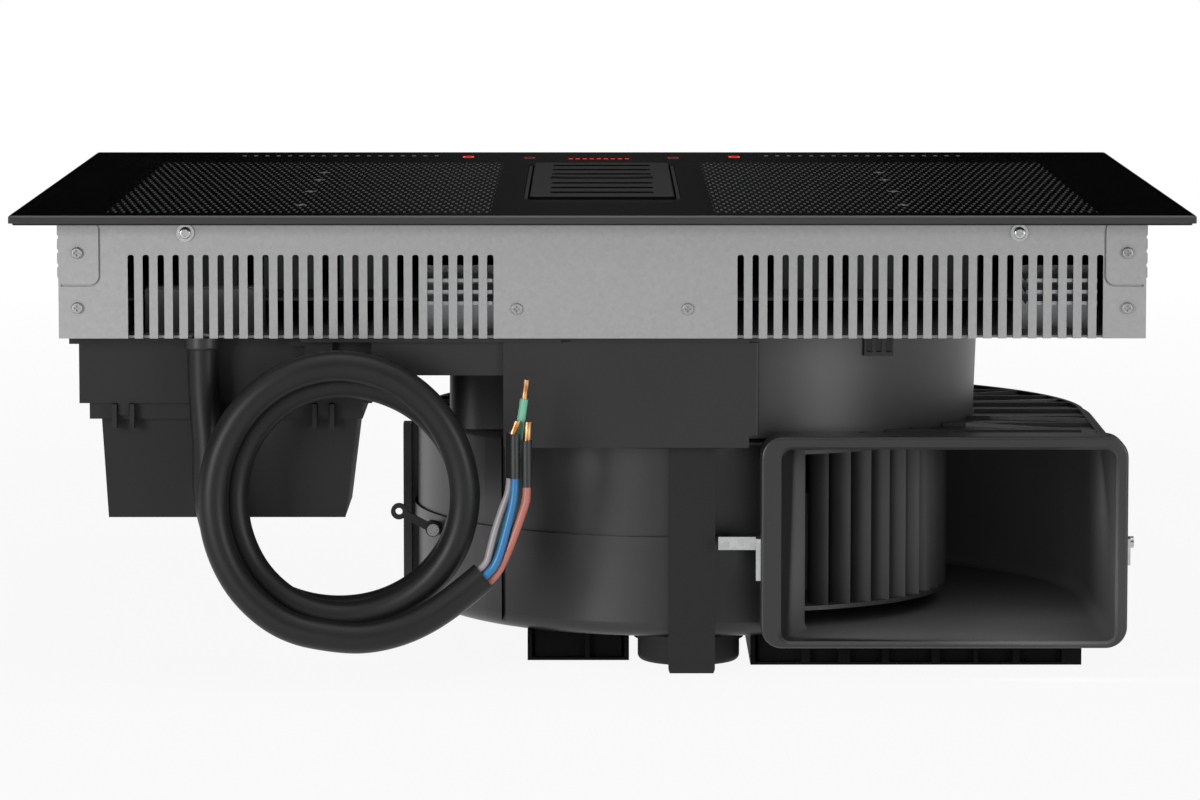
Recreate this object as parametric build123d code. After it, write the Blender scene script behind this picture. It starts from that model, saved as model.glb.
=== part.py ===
# Downdraft induction hob: a glass cooking surface over a flat electronics casing, with an air intake
# between the zones, a duct and inlet drum under the casing, and a scroll blower with a flat outlet.
# Millimetres. Z = 0 is the worktop surface that the glass seal rests on, at the middle of the hob.
# -Y is the wall side with the duct outlet and the mains lead, +Y is the cook's side, +X is right
# when the hob is looked at from the wall side.
import os
from math import cos, pi, radians, sin, tan

from build123d import *

os.makedirs("parts", exist_ok=True)

# ---- glass and seal
glass_width = 600.0
glass_depth = 520.0
glass_thickness = 4.0
glass_corner_radius = 3.0
glass_bevel = 0.8
seal_thickness = 1.0
seal_width = 12.0
seal_inset = 2.0

# ---- air intake through the glass
intake_centre_y = 2.0
intake_width = 83.0
intake_length = 281.0
intake_corner_radius = 3.0
intake_fit_gap = 0.3
intake_frame_wall = 1.8
intake_frame_drop = 0.4  # its top edge lies this far under the glass top
ledge_reach = 3.0
ledge_thickness = 2.0
ledge_top_z = -1.0
grille_edge_gap = 1.2
grille_top_height = 1.5  # above the glass
grille_plate = 2.0
grille_skirt = 1.8
slat_gap_width = 12.0
slat_gap_length = 55.0
slat_pitch = 37.0
slat_gaps_each_side = 3
grip_ridge_length = 57.0
grip_ridge_width = 9.0
grip_ridge_height = 1.2
filter_edge_gap = 0.6
filter_top_gap = 3.0
filter_wall = 1.5
filter_hole = 9.0
filter_hole_pitch = 12.0

# ---- electronics casing
casing_width = 553.0
casing_depth = 480.0
casing_bottom_z = -59.0
sheet = 1.2
top_flange = 6.0
slot_width = 3.3
slot_pitch = 7.61
slot_count = 25
slot_top_z = -16.3
left_slots_x = -239.6
right_slots_x = 70.3
slot_floor_reach = 3.0  # how far each slot runs on into the casing floor
slot_top_rounding = 0.4  # share of the slot's width
tab_width = 20.5
tab_bottom_z = -31.5
tab_corner_radius = 4.5
tab_gap = 1.0
tab_backing_lap = 3.0
louvre_count = 4
louvre_pitch = 7.2
louvre_top_z = -1.0
louvre_length = 60.0
louvre_end_gap = 3.0
louvre_height = 5.8
louvre_bulge = 0.8
floor_vent_width = 3.4
floor_vent_pitch = 8.0
floor_vent_length = 62.0
floor_vent_count = 8

# ---- fasteners of the casing
screw_head_radius = 2.9
screw_head_height = 1.9
screw_inset_x = 9.6
screw_upper_z = -15.3
screw_lower_z = -43.4
washer_screw_x = 211.8
washer_screw_z = -5.1
washer_radius = 4.5
washer_thickness = 0.9
washer_head_radius = 3.0
washer_head_height = 2.6
rivet_x = 43.5
rivet_z = -43.9
rivet_radius = 2.9
rivet_height = 1.2
cross_recess_width = 0.9
cross_recess_length = 3.2
cross_recess_depth = 0.8

# ---- induction coils and electronics
zone_x = 155.0
zone_near_y = -137.0
zone_far_y = 61.0
coil_outer_radius = 90.0
coil_inner_radius = 18.0
coil_thickness = 5.5
ferrite_thickness = 4.0
ferrite_length = 55.0
ferrite_width = 13.0
ferrite_mid_radius = 56.0
ferrites_per_coil = 8
mica_thickness = 1.5
mica_overhang = 1.5
carrier_thickness = 1.5
carrier_width = 218.0
carrier_length = 396.0
carrier_corner = 6.0
carrier_leg_radius = 3.0
carrier_leg_inset = 4.0
board_thickness = 1.6
board_width = 200.0
board_length = 170.0
board_near_y = -188.0
board_height = 13.5  # above the casing floor
standoff_radius = 3.0
standoff_inset = 8.0
capacitors = 4
capacitor_radius = 9.0
capacitor_height = 22.0
capacitor_gap = 4.0
chokes = 3
choke_size = 26.0
choke_height = 18.0
choke_gap = 14.0
heat_sink_length = 36.0
heat_sink_depth = 40.0
heat_sink_fins = 3
heat_sink_lift = 15.5  # from the casing floor to the lowest fin
heat_sink_base = 5.0
heat_sink_fin = 1.8
heat_sink_pitch = 5.8
heat_sink_left_x = -74.0
heat_sink_right_x = 234.0
heat_sink_wall_gap = 4.0
terminal_width = 60.0
terminal_depth = 28.0
terminal_height = 22.0
terminal_setback = 18.0  # from the wall-side panel
terminal_hole_radius = 3.0
fan_x = 165.0
fan_y = 110.0
fan_size = 80.0
fan_corner = 5.0
fan_height = 20.0
fan_bore_radius = 38.0
fan_tip_gap = 1.2
fan_hub_radius = 16.0
fan_motor_radius = 13.0
fan_motor_height = 9.0
fan_spoke_width = 4.0
fan_spoke_height = 3.0
fan_spoke_sink = 2.0
fan_blades = 7
fan_blade_thickness = 1.6
fan_blade_tilt = 38.0
fan_blade_fill = 0.8  # share of the rotor's height that a tilted blade takes
fan_pin_radius = 1.5
fan_pin_gap = 0.05
fan_pin_floor = 1.0
fan_end_gap = 1.0
touch_board_width = 460.0
touch_board_depth = 40.0
touch_board_y = 210.0
display_x = 78.0
display_y = 215.0
display_width = 14.0
display_depth = 9.0
timer_x = 42.0
timer_y = 206.0
slider_length = 44.0
slider_width = 6.0
slider_y = 197.0
display_height = 2.6

# ---- ducts under the casing
plate_thickness = 2.5
plate_left_x = -154.0
plate_right_x = 75.0
plate_near_y = -233.5
plate_far_y = 172.0
plate_notch = 5.0
plate_notch_x = -18.5
plate_hole_corner = 1.0
holder_clearance = 1.0
duct_wall = 2.5
duct_left_x = -50.6
duct_right_x = 75.0
duct_near_y = -232.0
duct_far_y = 165.0
duct_lip_bottom_z = -115.9
cross_duct_near_y = -229.0
cross_duct_far_y = -140.0
cross_duct_bottom_z = -79.0
duct_strip_width = 5.0
duct_strip_depth = 5.0
duct_strip_top_gap = 0.5
duct_strip_bottom_z = -109.5
duct_strip_edge = 1.5
control_box_left_x = -80.0
control_box_near_y = -166.0
control_box_far_y = 40.0
control_box_edge = 16.0
drum_top_radius = 131.0
drum_bottom_radius = 129.0
drum_mouth_half = 121.5  # half the opening between collecting box and drum
connector_width = 15.0
connector_height = 13.4
connector_depth = 6.0
connector_x = 143.0
connector_pins = 3
connector_pin_width = 3.0
connector_pin_depth = 2.0
drum_fit_gap = 0.05

# ---- blower
blower_x = 70.0
blower_y = -80.0
scroll_wall = 2.4
scroll_front_y = -212.0
scroll_left_x = -100.0
scroll_back_y = 104.0
scroll_right_x = 264.6
scroll_front_at_x = 40.0
scroll_left_at_y = -50.0
scroll_back_at_x = 80.0
tongue_x = 105.0
tongue_y = -197.0
ceiling_z = -116.1
floor_z = -214.9
seam_z = -168.0
eye_radius = 98.0
bottom_edge_radius = 8.0
top_edge_radius = 5.0
seam_bead = 1.6
seam_bead_height = 3.6
rib_height = 1.9
rib_width = 2.4
rib_first_y = -184.7
rib_rows_pitch = 33.5
rib_spoke_angle = 15.0
rib_clearance = 1.0
collar_left_x = 81.0
collar_right_x = 268.6
collar_top_z = -109.4
collar_bottom_z = -218.4
collar_radius = 11.0
collar_edge = 1.5
collar_depth = 20.0
collar_overlap = 10.0  # how far the scroll walls run into the collar
collar_lip = 1.4  # chamfer round the opening's front edge
outlet_y = -240.0
outlet_left_x = 90.9
outlet_radius = 5.0
groove_x = -51.5
groove_width = 2.2
groove_depth = 1.4
# upright flange on the scroll's left side: a post with a deep narrow gap between it and the wall
post_left_x = -107.7
post_right_x = -103.3
post_near_y = -56.0
post_far_y = -42.0
post_web = 3.0
post_end_gap = 9.0
seam_lug_width = 16.0
seam_lug_reach = 11.0
seam_lug_root = 2.0  # how far a lug sinks into the wall
seam_lug_thickness = 4.0
# eyelet for a cable tie: a ring on a slanting arm that is screwed to the scroll's left side
eyelet_x = -107.9
eyelet_z = -162.4
eyelet_radius = 4.3
eyelet_hole_radius = 1.9
eyelet_thickness = 3.0
eyelet_near_y = -123.0
eyelet_screw_x = -89.8
eyelet_screw_z = -172.0
eyelet_arm_width = 4.2
eyelet_boss_radius = 4.0
eyelet_boss_root = 1.0
# sheet-metal clips that hold the two halves of the collar together at the seam
clip_bar_length = 21.5
clip_bar_setback = 12.0  # from the outlet's face
clip_bar_depth = 4.5
clip_above_seam = 5.6
clip_below_seam = 1.1
clip_plate = 2.4
clip_plate_setback = 4.0
clip_plate_drop = 16.0
clip_right_plate = 1.6
clip_knob_radius = 3.0
clip_knob_height = 2.2
clip_knob_lift = 4.5
seam_screw_inset = 4.2
seam_screw_radius = 3.2
seam_screw_height = 3.0

# ---- wheel and motor
wheel_radius = 115.0
wheel_inner_radius = 97.0
wheel_top_z = -122.0
wheel_bottom_z = -206.0
wheel_ring = 2.2
wheel_blades = 54
wheel_blade_thickness = 1.3
wheel_blade_bow = 2.6
wheel_blade_inset = 0.4
cup_radius = 60.0
cup_wall = 2.5
cup_top_z = -152.0
hub_radius = 9.0
hub_length = 13.5  # ends just above the motor
motor_radius = 50.0
motor_flange_radius = 56.0
motor_flange = 4.0
motor_edge = 4.0
motor_top_z = -166.0
shaft_radius = 4.0
shaft_top_z = -146.0
shaft_bottom_z = -205.0
shaft_gap = 0.05
shaft_end_gap = 1.0
motor_screws = 4
motor_screw_circle = 51.5
motor_screw_radius = 3.0
motor_screw_height = 2.5

# ---- what stands under the blower
strap_left_x = 34.0
strap_right_x = 58.0
strap_y = -222.0
strap_thickness = 1.5
strap_bottom_z = -234.0
strap_foot_length = 58.0
strap_flange_length = 7.0
strap_corner = 2.0
damper_x = 45.0
damper_y = -181.0
damper_radius = 26.5
damper_flange_radius = 28.5
damper_flange = 3.0
damper_edge = 3.0
foot_left_x = -39.0
foot_left_right_x = 14.0
foot_right_left_x = 77.0
foot_right_x = 249.0
foot_near_y = -196.0
foot_left_near_y = -180.0
foot_far_y = -60.0
foot_bottom_z = -233.5
foot_wall = 2.4
foot_flange = 1.4
foot_rib_depth = 4.0
# upright ribs of the feet: left edge and width of each
left_ribs = ((-9.0, 2.4),)
right_ribs = (
    (103.3, 4.6),
    (122.5, 6.2),
    (145.3, 3.6),
    (171.2, 4.2),
    (193.0, 2.1),
    (213.3, 3.6),
    (238.7, 8.0),
)

# ---- drip tray and its holder
holder_left_x = -268.0
holder_right_x = -118.0
holder_near_y = -222.0
holder_far_y = -118.0
holder_bottom_z = -94.0
holder_wall = 2.2
lug_length = 25.0
lug_height = 4.5
lug_reach = 5.0
tray_flange_inset = 5.0
tray_flange_height = 8.0
tray_body_left_inset = 10.9
tray_body_right_inset = 8.0
tray_body_end_inset = 6.0
tray_bottom_z = -154.0
tray_left_taper = 2.9
tray_right_taper = 6.4
tray_end_taper = 3.0
tray_wall = 2.0
tray_seat_gap = 0.3
fork_left_x = -245.5
fork_right_x = -143.0
fork_leg_width = 2.4
fork_gap = 6.6
fork_height = 12.5
fork_depth = 4.9
fork_root = 1.0
tongue_gap = 0.5
# stepped bracket on the holder's near side, under the casing
bracket_left_x = -160.0
bracket_step_x = -152.0
bracket_right_x = -138.0
bracket_reach = 5.0
bracket_height = 5.0
bracket_step_height = 10.5

# ---- mains lead
cable_radius = 7.8
gland_x = -204.0
gland_y = -232.4
gland_radius = 9.4
gland_height = 6.0
gland_edge = 1.2
cable_hole_radius = 6.0
coil_x = -134.0
coil_z = -139.0
# quarter points of the coil: how far out from its middle, and how far toward the wall side (Y)
coil_quarters = (
    (67.0, -234.6),  # left, first pass
    (60.0, -236.3),  # bottom
    (64.0, -238.3),  # right
    (57.5, -242.0),  # top
    (53.6, -247.6),  # left, second pass
    (61.0, -253.4),  # bottom
    (64.0, -256.0),  # right
    (68.0, -258.0),  # top
    (62.9, -263.2),  # left, third pass
    (69.8, -268.6),  # bottom
)
coil_mean_radius = 62.0
coil_samples = 480
drop_bend_low_z = -116.0
drop_bend_high_z = -88.0
# the free end, after the coil: points chosen by hand
tail_route = (
    (-116.0, -268.6, -208.8),
    (-95.5, -267.8, -202.9),
    (-75.5, -265.9, -190.6),
    (-60.0, -264.2, -177.6),
)
core_radius = 2.1
core_circle = 3.9
core_count = 5
core_first_angle = 180.0  # the first core lies nearest the viewer on the wall side
core_exit = 5.0
sleeve_wall = 0.5
# each core after it leaves the sheath; the last point is under its sleeve, or the earth core's bare tip
blue_route = (
    (-52.6, -267.4, -168.0),
    (-49.3, -267.0, -156.5),
    (-45.6, -266.6, -142.0),
    (-44.3, -266.2, -133.5),
    (-44.3, -266.2, -127.6),
)
brown_route = (
    (-49.6, -264.9, -169.5),
    (-45.0, -265.2, -158.0),
    (-40.4, -265.7, -145.0),
    (-38.2, -266.0, -138.0),
    (-38.2, -266.0, -132.0),
)
black_route = (
    (-50.6, -260.5, -168.5),
    (-45.6, -260.6, -157.5),
    (-40.7, -261.1, -145.0),
    (-38.2, -261.4, -138.0),
    (-38.2, -261.4, -132.0),
)
earth_route = (
    (-54.9, -259.8, -164.5),
    (-51.2, -258.6, -152.5),
    (-46.9, -257.4, -137.0),
    (-43.9, -256.9, -120.5),
    (-42.2, -257.3, -104.5),
    (-40.4, -258.4, -94.5),
    (-39.6, -258.9, -88.0),
)
grey_route = (
    (-56.9, -264.8, -164.8),
    (-54.2, -264.0, -154.0),
    (-50.2, -263.1, -142.5),
    (-46.6, -262.4, -133.5),
    (-46.6, -262.4, -127.6),
)
sleeve_grey_blue_top_z = -105.0
sleeve_brown_black_top_z = -108.5
ferrule_radius = 2.0
ferrule_grey_blue_tip = (-43.0, -264.3, -98.6)
ferrule_brown_black_tip = (-37.4, -263.7, -99.0)
earth_tip_radius = 1.5
earth_tip_length = 10.0

# ---- values that follow from the driving dimensions
glass_bottom_z = seal_thickness
glass_top_z = glass_bottom_z + glass_thickness
casing_top_z = glass_bottom_z
casing_half_width = casing_width / 2
casing_half_depth = casing_depth / 2
casing_floor_z = casing_bottom_z + sheet
duct_top_z = casing_bottom_z - plate_thickness
shell_top_z = ceiling_z + scroll_wall
shell_bottom_z = floor_z - scroll_wall
rib_top_z = shell_top_z + rib_height
frame_outer_width = intake_width - 2 * intake_fit_gap
frame_outer_length = intake_length - 2 * intake_fit_gap
frame_inner_width = frame_outer_width - 2 * intake_frame_wall
frame_inner_length = frame_outer_length - 2 * intake_frame_wall
ledge_width = frame_inner_width - 2 * ledge_reach
ledge_length = frame_inner_length - 2 * ledge_reach
carrier_top_z = glass_bottom_z - mica_thickness - coil_thickness - ferrite_thickness
board_z = casing_floor_z + board_height
coil_top_z = glass_bottom_z - mica_thickness


def box(x0, x1, y0, y1, z0, z1):
    """A block between two corners."""
    return Pos((x0 + x1) / 2, (y0 + y1) / 2, (z0 + z1) / 2) * Box(x1 - x0, y1 - y0, z1 - z0)


def rod(x, y, z0, z1, radius):
    """An upright cylinder."""
    return Pos(x, y, (z0 + z1) / 2) * Cylinder(radius, z1 - z0)


def slab(x, y, width, length, z0, z1, radius):
    """An upright block with rounded corners, seen from above."""
    return extrude(Pos(x, y, z0) * RectangleRounded(width, length, radius), z1 - z0)


def frame_shape(x, y, width, length, wall, z0, z1, radius):
    """A rectangular ring with rounded corners."""
    outer = slab(x, y, width, length, z0, z1, radius)
    half_x = width / 2 - wall
    half_y = length / 2 - wall
    inner = box(x - half_x, x + half_x, y - half_y, y + half_y, z0, z1)
    return outer - inner


def save(name, *shapes):
    """Write one node; separate solids of one node are kept apart."""
    solids = []
    for shape in shapes:
        solids.extend(shape.solids())
    export_step(Compound(children=solids) if len(solids) > 1 else solids[0], f"parts/{name}.step")


# ---- glass, seal and intake


def glass_panel():
    plate = slab(0, 0, glass_width, glass_depth, glass_bottom_z, glass_top_z, glass_corner_radius)
    plate = chamfer(plate.faces().sort_by(Axis.Z)[-1].edges(), glass_bevel)
    hole = slab(
        0,
        intake_centre_y,
        intake_width,
        intake_length,
        glass_bottom_z,
        glass_top_z,
        intake_corner_radius,
    )
    return plate - hole


def worktop_seal():
    width = glass_width - 2 * seal_inset
    depth = glass_depth - 2 * seal_inset
    return frame_shape(0, 0, width, depth, seal_width, 0, seal_thickness, glass_corner_radius)


def intake_frame():
    top = glass_top_z - intake_frame_drop
    shaft = slab(
        0, intake_centre_y, frame_outer_width, frame_outer_length, casing_bottom_z, top, intake_corner_radius
    )
    y0 = intake_centre_y - frame_inner_length / 2
    shaft -= box(
        -frame_inner_width / 2,
        frame_inner_width / 2,
        y0,
        y0 + frame_inner_length,
        casing_bottom_z,
        top,
    )
    for ledge_z in (ledge_top_z, casing_bottom_z + ledge_thickness):
        ring = slab(
            0,
            intake_centre_y,
            frame_outer_width,
            frame_outer_length,
            ledge_z - ledge_thickness,
            ledge_z,
            intake_corner_radius,
        )
        reach = 0 if ledge_z == ledge_top_z else 3 * filter_edge_gap
        ring -= slab(
            0,
            intake_centre_y,
            ledge_width - 2 * reach,
            ledge_length - 2 * reach,
            ledge_z - ledge_thickness,
            ledge_z,
            plate_hole_corner,
        )
        shaft += ring
    return shaft


grille_width = frame_inner_width - 2 * grille_edge_gap
grille_length = frame_inner_length - 2 * grille_edge_gap
grille_top_z = glass_top_z + grille_top_height


def grip_ridge():
    """The raised bar across the middle of the grille, with pointed ends."""
    half = grip_ridge_length / 2
    with BuildSketch(Plane.XY.offset(grille_top_z)) as sketch:
        with BuildLine():
            Polyline(
                (-half, intake_centre_y),
                (-half + grip_ridge_width, intake_centre_y - grip_ridge_width / 2),
                (half - grip_ridge_width, intake_centre_y - grip_ridge_width / 2),
                (half, intake_centre_y),
                (half - grip_ridge_width, intake_centre_y + grip_ridge_width / 2),
                (-half + grip_ridge_width, intake_centre_y + grip_ridge_width / 2),
                close=True,
            )
        make_face()
    return extrude(sketch.sketch, grip_ridge_height, taper=20)


def intake_grille():
    plate = slab(
        0,
        intake_centre_y,
        grille_width,
        grille_length,
        ledge_top_z,
        grille_top_z,
        intake_corner_radius,
    )
    plate = fillet(plate.faces().sort_by(Axis.Z)[-1].edges(), grille_plate / 2)
    hollow_x = grille_width / 2 - grille_skirt
    hollow_y = grille_length / 2 - grille_skirt
    plate -= box(
        -hollow_x,
        hollow_x,
        intake_centre_y - hollow_y,
        intake_centre_y + hollow_y,
        ledge_top_z,
        grille_top_z - grille_plate,
    )
    for side in (-1, 1):
        for number in range(1, slat_gaps_each_side + 1):
            y = intake_centre_y + side * number * slat_pitch
            plate -= slab(0, y, slat_gap_length, slat_gap_width, ledge_top_z, grille_top_z, 3.0)
    return plate + grip_ridge()


filter_width = ledge_width - 2 * filter_edge_gap
filter_length = ledge_length - 2 * filter_edge_gap
filter_bottom_z = casing_bottom_z + ledge_thickness
filter_top_z = ledge_top_z - filter_top_gap


def grease_filter():
    """An open-topped basket of perforated metal that stands in the intake shaft."""
    basket = slab(0, intake_centre_y, filter_width, filter_length, filter_bottom_z, filter_top_z, 1.5)
    inner_x = filter_width / 2 - filter_wall
    inner_y = filter_length / 2 - filter_wall
    basket -= box(
        -inner_x,
        inner_x,
        intake_centre_y - inner_y,
        intake_centre_y + inner_y,
        filter_bottom_z + filter_wall,
        filter_top_z,
    )
    columns = int((2 * inner_x - filter_hole) // filter_hole_pitch)
    rows = int((2 * inner_y - filter_hole) // filter_hole_pitch)
    holes = []
    for column in range(columns + 1):
        for row in range(rows + 1):
            x = (column - columns / 2) * filter_hole_pitch
            y = intake_centre_y + (row - rows / 2) * filter_hole_pitch
            holes.append(
                box(
                    x - filter_hole / 2,
                    x + filter_hole / 2,
                    y - filter_hole / 2,
                    y + filter_hole / 2,
                    filter_bottom_z,
                    filter_bottom_z + filter_wall,
                )
            )
    return basket - holes


# ---- casing


def casing_tray():
    """One bent sheet: floor, wall-side and cook-side walls, and their inward top flanges."""
    x = casing_half_width - sheet
    y = casing_half_depth
    tray = box(-x, x, -y, y, casing_bottom_z, casing_top_z)
    tray -= box(-x, x, -y + sheet, y - sheet, casing_floor_z, casing_top_z - sheet)
    tray -= box(-x, x, -y + top_flange, y - top_flange, casing_floor_z, casing_top_z)
    tray -= slab(
        0,
        intake_centre_y,
        intake_width,
        intake_length,
        casing_bottom_z,
        casing_floor_z,
        intake_corner_radius,
    )
    tray -= rod(gland_x, gland_y, casing_bottom_z, casing_floor_z, cable_hole_radius)
    for side in (-1, 1):
        for end in (-1, 1):
            tray -= corner_tab(side, end, tab_gap)
            tray += tab_backing(side, end)
    return tray - wall_slots() - floor_vents()


def wall_slots():
    """Two rows of upright cooling slots in the wall-side panel, open at the bottom bend."""
    slots = []
    y0 = -casing_half_depth
    for first_x in (left_slots_x, right_slots_x):
        for number in range(slot_count):
            x0 = first_x + number * slot_pitch - slot_width / 2
            x1 = x0 + slot_width
            slot = box(x0, x1, y0, y0 + 2 * sheet, casing_bottom_z, slot_top_z)
            top = slot.edges().filter_by(Axis.Y).sort_by(Axis.Z)[-2:]
            slots.append(fillet(top, slot_width * slot_top_rounding))
            slots.append(box(x0, x1, y0, y0 + sheet + slot_floor_reach, casing_bottom_z, casing_floor_z))
    return slots


def floor_vents():
    """Slots in the casing floor under each cooling fan."""
    slots = []
    for side in (-1, 1):
        for number in range(floor_vent_count):
            y = fan_y + (number - (floor_vent_count - 1) / 2) * floor_vent_pitch
            slots.append(
                slab(
                    side * fan_x,
                    y,
                    floor_vent_length,
                    floor_vent_width,
                    casing_bottom_z,
                    casing_floor_z,
                    floor_vent_width * 0.45,
                )
            )
    return slots


def corner_tab(side, end, grow):
    """The rounded flap of a side panel, flush in the end wall; grow gives the recess round it."""
    inner_x = side * (casing_half_width - tab_width - grow)
    outer_x = side * casing_half_width
    outer_y = end * casing_half_depth
    inner_y = end * (casing_half_depth - sheet)
    tab = box(
        min(inner_x, outer_x),
        max(inner_x, outer_x),
        min(inner_y, outer_y),
        max(inner_y, outer_y),
        tab_bottom_z - grow,
        casing_top_z,
    )
    inner = tab.edges().filter_by(Axis.Y).sort_by(lambda edge: abs(edge.center().X))[:2]
    return fillet(inner, tab_corner_radius + grow)


def tab_backing(side, end):
    """The joggled lip of the tray behind a corner flap."""
    inner_x = side * (casing_half_width - tab_width - tab_gap - tab_backing_lap)
    outer_x = side * (casing_half_width - sheet)
    outer_y = end * (casing_half_depth - sheet)
    inner_y = end * (casing_half_depth - 2 * sheet)
    return box(
        min(inner_x, outer_x),
        max(inner_x, outer_x),
        min(inner_y, outer_y),
        max(inner_y, outer_y),
        tab_bottom_z - tab_gap - tab_backing_lap,
        casing_top_z,
    )


def side_panel(side):
    x0 = side * (casing_half_width - sheet)
    x1 = side * casing_half_width
    y = casing_half_depth
    panel = box(min(x0, x1), max(x0, x1), -y, y, casing_bottom_z, casing_top_z)
    for end in (-1, 1):
        panel += corner_tab(side, end, 0)
        for number in range(louvre_count):
            z = louvre_top_z - number * louvre_pitch - louvre_height / 2
            centre = Pos(x1, end * (y - louvre_end_gap - louvre_length / 2), z)
            bump = centre * Box(2 * louvre_bulge, louvre_length, louvre_height)
            outer_edges = bump.edges().filter_by(Axis.Y).sort_by(lambda edge: -side * edge.center().X)[:2]
            bump = fillet(outer_edges, louvre_bulge * 0.9)
            panel += bump
    return panel


def wall_screw(x, z, y, end, radius, height):
    """A pan-head screw on an end wall, facing outward, with a cross recess."""
    head = Pos(x, y + end * height / 2, z) * Rot(90, 0, 0) * Cylinder(radius, height)
    rim = head.edges().filter_by(GeomType.CIRCLE).sort_by(lambda edge: -end * edge.center().Y)[0]
    head = fillet(rim, height * 0.45)
    top = y + end * (height - cross_recess_depth / 2)
    head -= Pos(x, top, z) * Box(cross_recess_length, cross_recess_depth, cross_recess_width)
    head -= Pos(x, top, z) * Box(cross_recess_width, cross_recess_depth, cross_recess_length)
    return head


def casing_screws():
    screws = []
    for side in (-1, 1):
        for end in (-1, 1):
            x = side * (casing_half_width - screw_inset_x)
            y = end * casing_half_depth
            for z in (screw_upper_z, screw_lower_z):
                screws.append(wall_screw(x, z, y, end, screw_head_radius, screw_head_height))
    return screws


def washer_screws():
    screws = []
    for side in (-1, 1):
        x = side * washer_screw_x
        y = -casing_half_depth
        washer = Pos(x, y - washer_thickness / 2, washer_screw_z) * Rot(90, 0, 0) * Cylinder(
            washer_radius, washer_thickness
        )
        head = wall_screw(x, washer_screw_z, y - washer_thickness, -1, washer_head_radius, washer_head_height)
        screws.append(washer + head)
    return screws


def casing_rivets():
    rivets = []
    for side in (-1, 1):
        x = side * rivet_x
        rivets.append(wall_screw(x, rivet_z, -casing_half_depth, -1, rivet_radius, rivet_height))
    return rivets


# ---- induction coils and electronics inside the casing


def coil_carrier(side):
    """The metal plate that holds two coils up against the glass, on legs from the casing floor."""
    middle_y = (zone_near_y + zone_far_y) / 2
    plate = slab(
        side * zone_x,
        middle_y,
        carrier_width,
        carrier_length,
        carrier_top_z - carrier_thickness,
        carrier_top_z,
        carrier_corner,
    )
    for x_side in (-1, 1):
        for y_side in (-1, 0, 1):
            x = side * zone_x + x_side * (carrier_width / 2 - carrier_leg_inset)
            y = middle_y + y_side * (carrier_length / 2 - carrier_leg_inset)
            plate += rod(x, y, casing_floor_z, carrier_top_z, carrier_leg_radius)
    return plate


def induction_coil(x, y):
    winding = rod(x, y, coil_top_z - coil_thickness, coil_top_z, coil_outer_radius)
    sheet_disc = rod(x, y, coil_top_z, glass_bottom_z, coil_outer_radius + mica_overhang)
    coil = winding + sheet_disc
    return coil - rod(x, y, coil_top_z - coil_thickness, glass_bottom_z, coil_inner_radius)


def ferrite_bars():
    bars = []
    for side in (-1, 1):
        for y in (zone_near_y, zone_far_y):
            for number in range(ferrites_per_coil):
                angle = 360 / ferrites_per_coil * (number + 0.5)
                bar = Pos(ferrite_mid_radius, 0, carrier_top_z + ferrite_thickness / 2) * Box(
                    ferrite_length, ferrite_width, ferrite_thickness
                )
                bars.append(Pos(side * zone_x, y, 0) * Rot(0, 0, angle) * bar)
    return bars


def power_board(side):
    """A circuit board on stand-offs, with its capacitors and chokes."""
    x = side * zone_x
    y = board_near_y + board_length / 2
    board = box(
        x - board_width / 2,
        x + board_width / 2,
        board_near_y,
        board_near_y + board_length,
        board_z,
        board_z + board_thickness,
    )
    for x_side in (-1, 1):
        for y_side in (-1, 1):
            px = x + x_side * (board_width / 2 - standoff_inset)
            py = y + y_side * (board_length / 2 - standoff_inset)
            board += rod(px, py, casing_floor_z, board_z, standoff_radius)
    top = board_z + board_thickness
    for number in range(capacitors):
        px = x - board_width / 4 + number * (2 * capacitor_radius + capacitor_gap)
        board += rod(px, y + board_length / 4, top, top + capacitor_height, capacitor_radius)
    for number in range(chokes):
        px = x - board_width / 4 + number * (choke_size + choke_gap)
        choke = Box(choke_size, choke_size, choke_height)
        board += Pos(px, y - board_length / 8, top + choke_height / 2) * choke
    return board


def heat_sink(x):
    """A standing base with level fins that reach toward the wall-side slots."""
    y0 = -casing_half_depth + sheet + heat_sink_wall_gap
    y1 = y0 + heat_sink_depth
    x0 = x - heat_sink_length / 2
    x1 = x + heat_sink_length / 2
    low = casing_floor_z + heat_sink_lift
    block = box(x0, x1, y1 - heat_sink_base, y1, casing_floor_z, low + heat_sink_fins * heat_sink_pitch)
    for number in range(heat_sink_fins):
        z = low + number * heat_sink_pitch
        block += box(x0, x1, y0, y1 - heat_sink_base, z, z + heat_sink_fin)
    return block


def terminal_block():
    y0 = -casing_half_depth + sheet + terminal_setback
    block = box(
        gland_x - terminal_width / 2,
        gland_x + terminal_width / 2,
        y0,
        y0 + terminal_depth,
        casing_floor_z,
        casing_floor_z + terminal_height,
    )
    top = casing_floor_z + terminal_height
    for number in range(core_count):
        x = gland_x + (number - (core_count - 1) / 2) * (terminal_width / core_count)
        block -= rod(x, y0 + terminal_depth / 2, top - terminal_height / 2, top, terminal_hole_radius)
    return block


def fan_frame(side):
    """Square cooling-fan frame with a motor plate on four spokes."""
    x = side * fan_x
    z0 = casing_floor_z
    body = slab(x, fan_y, fan_size, fan_size, z0, z0 + fan_height, fan_corner)
    body -= rod(x, fan_y, z0, z0 + fan_height, fan_bore_radius)
    for turn in (0, 90):
        body += Pos(x, fan_y, z0 + fan_spoke_height / 2) * Rot(0, 0, 45 + turn) * Box(
            2 * (fan_bore_radius + fan_spoke_sink), fan_spoke_width, fan_spoke_height
        )
    body += rod(x, fan_y, z0, z0 + fan_spoke_height + fan_motor_height / 3, fan_motor_radius)
    pin_hole = rod(x, fan_y, z0 + fan_pin_floor, z0 + fan_height, fan_pin_radius + fan_pin_gap)
    return body - pin_hole


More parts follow.
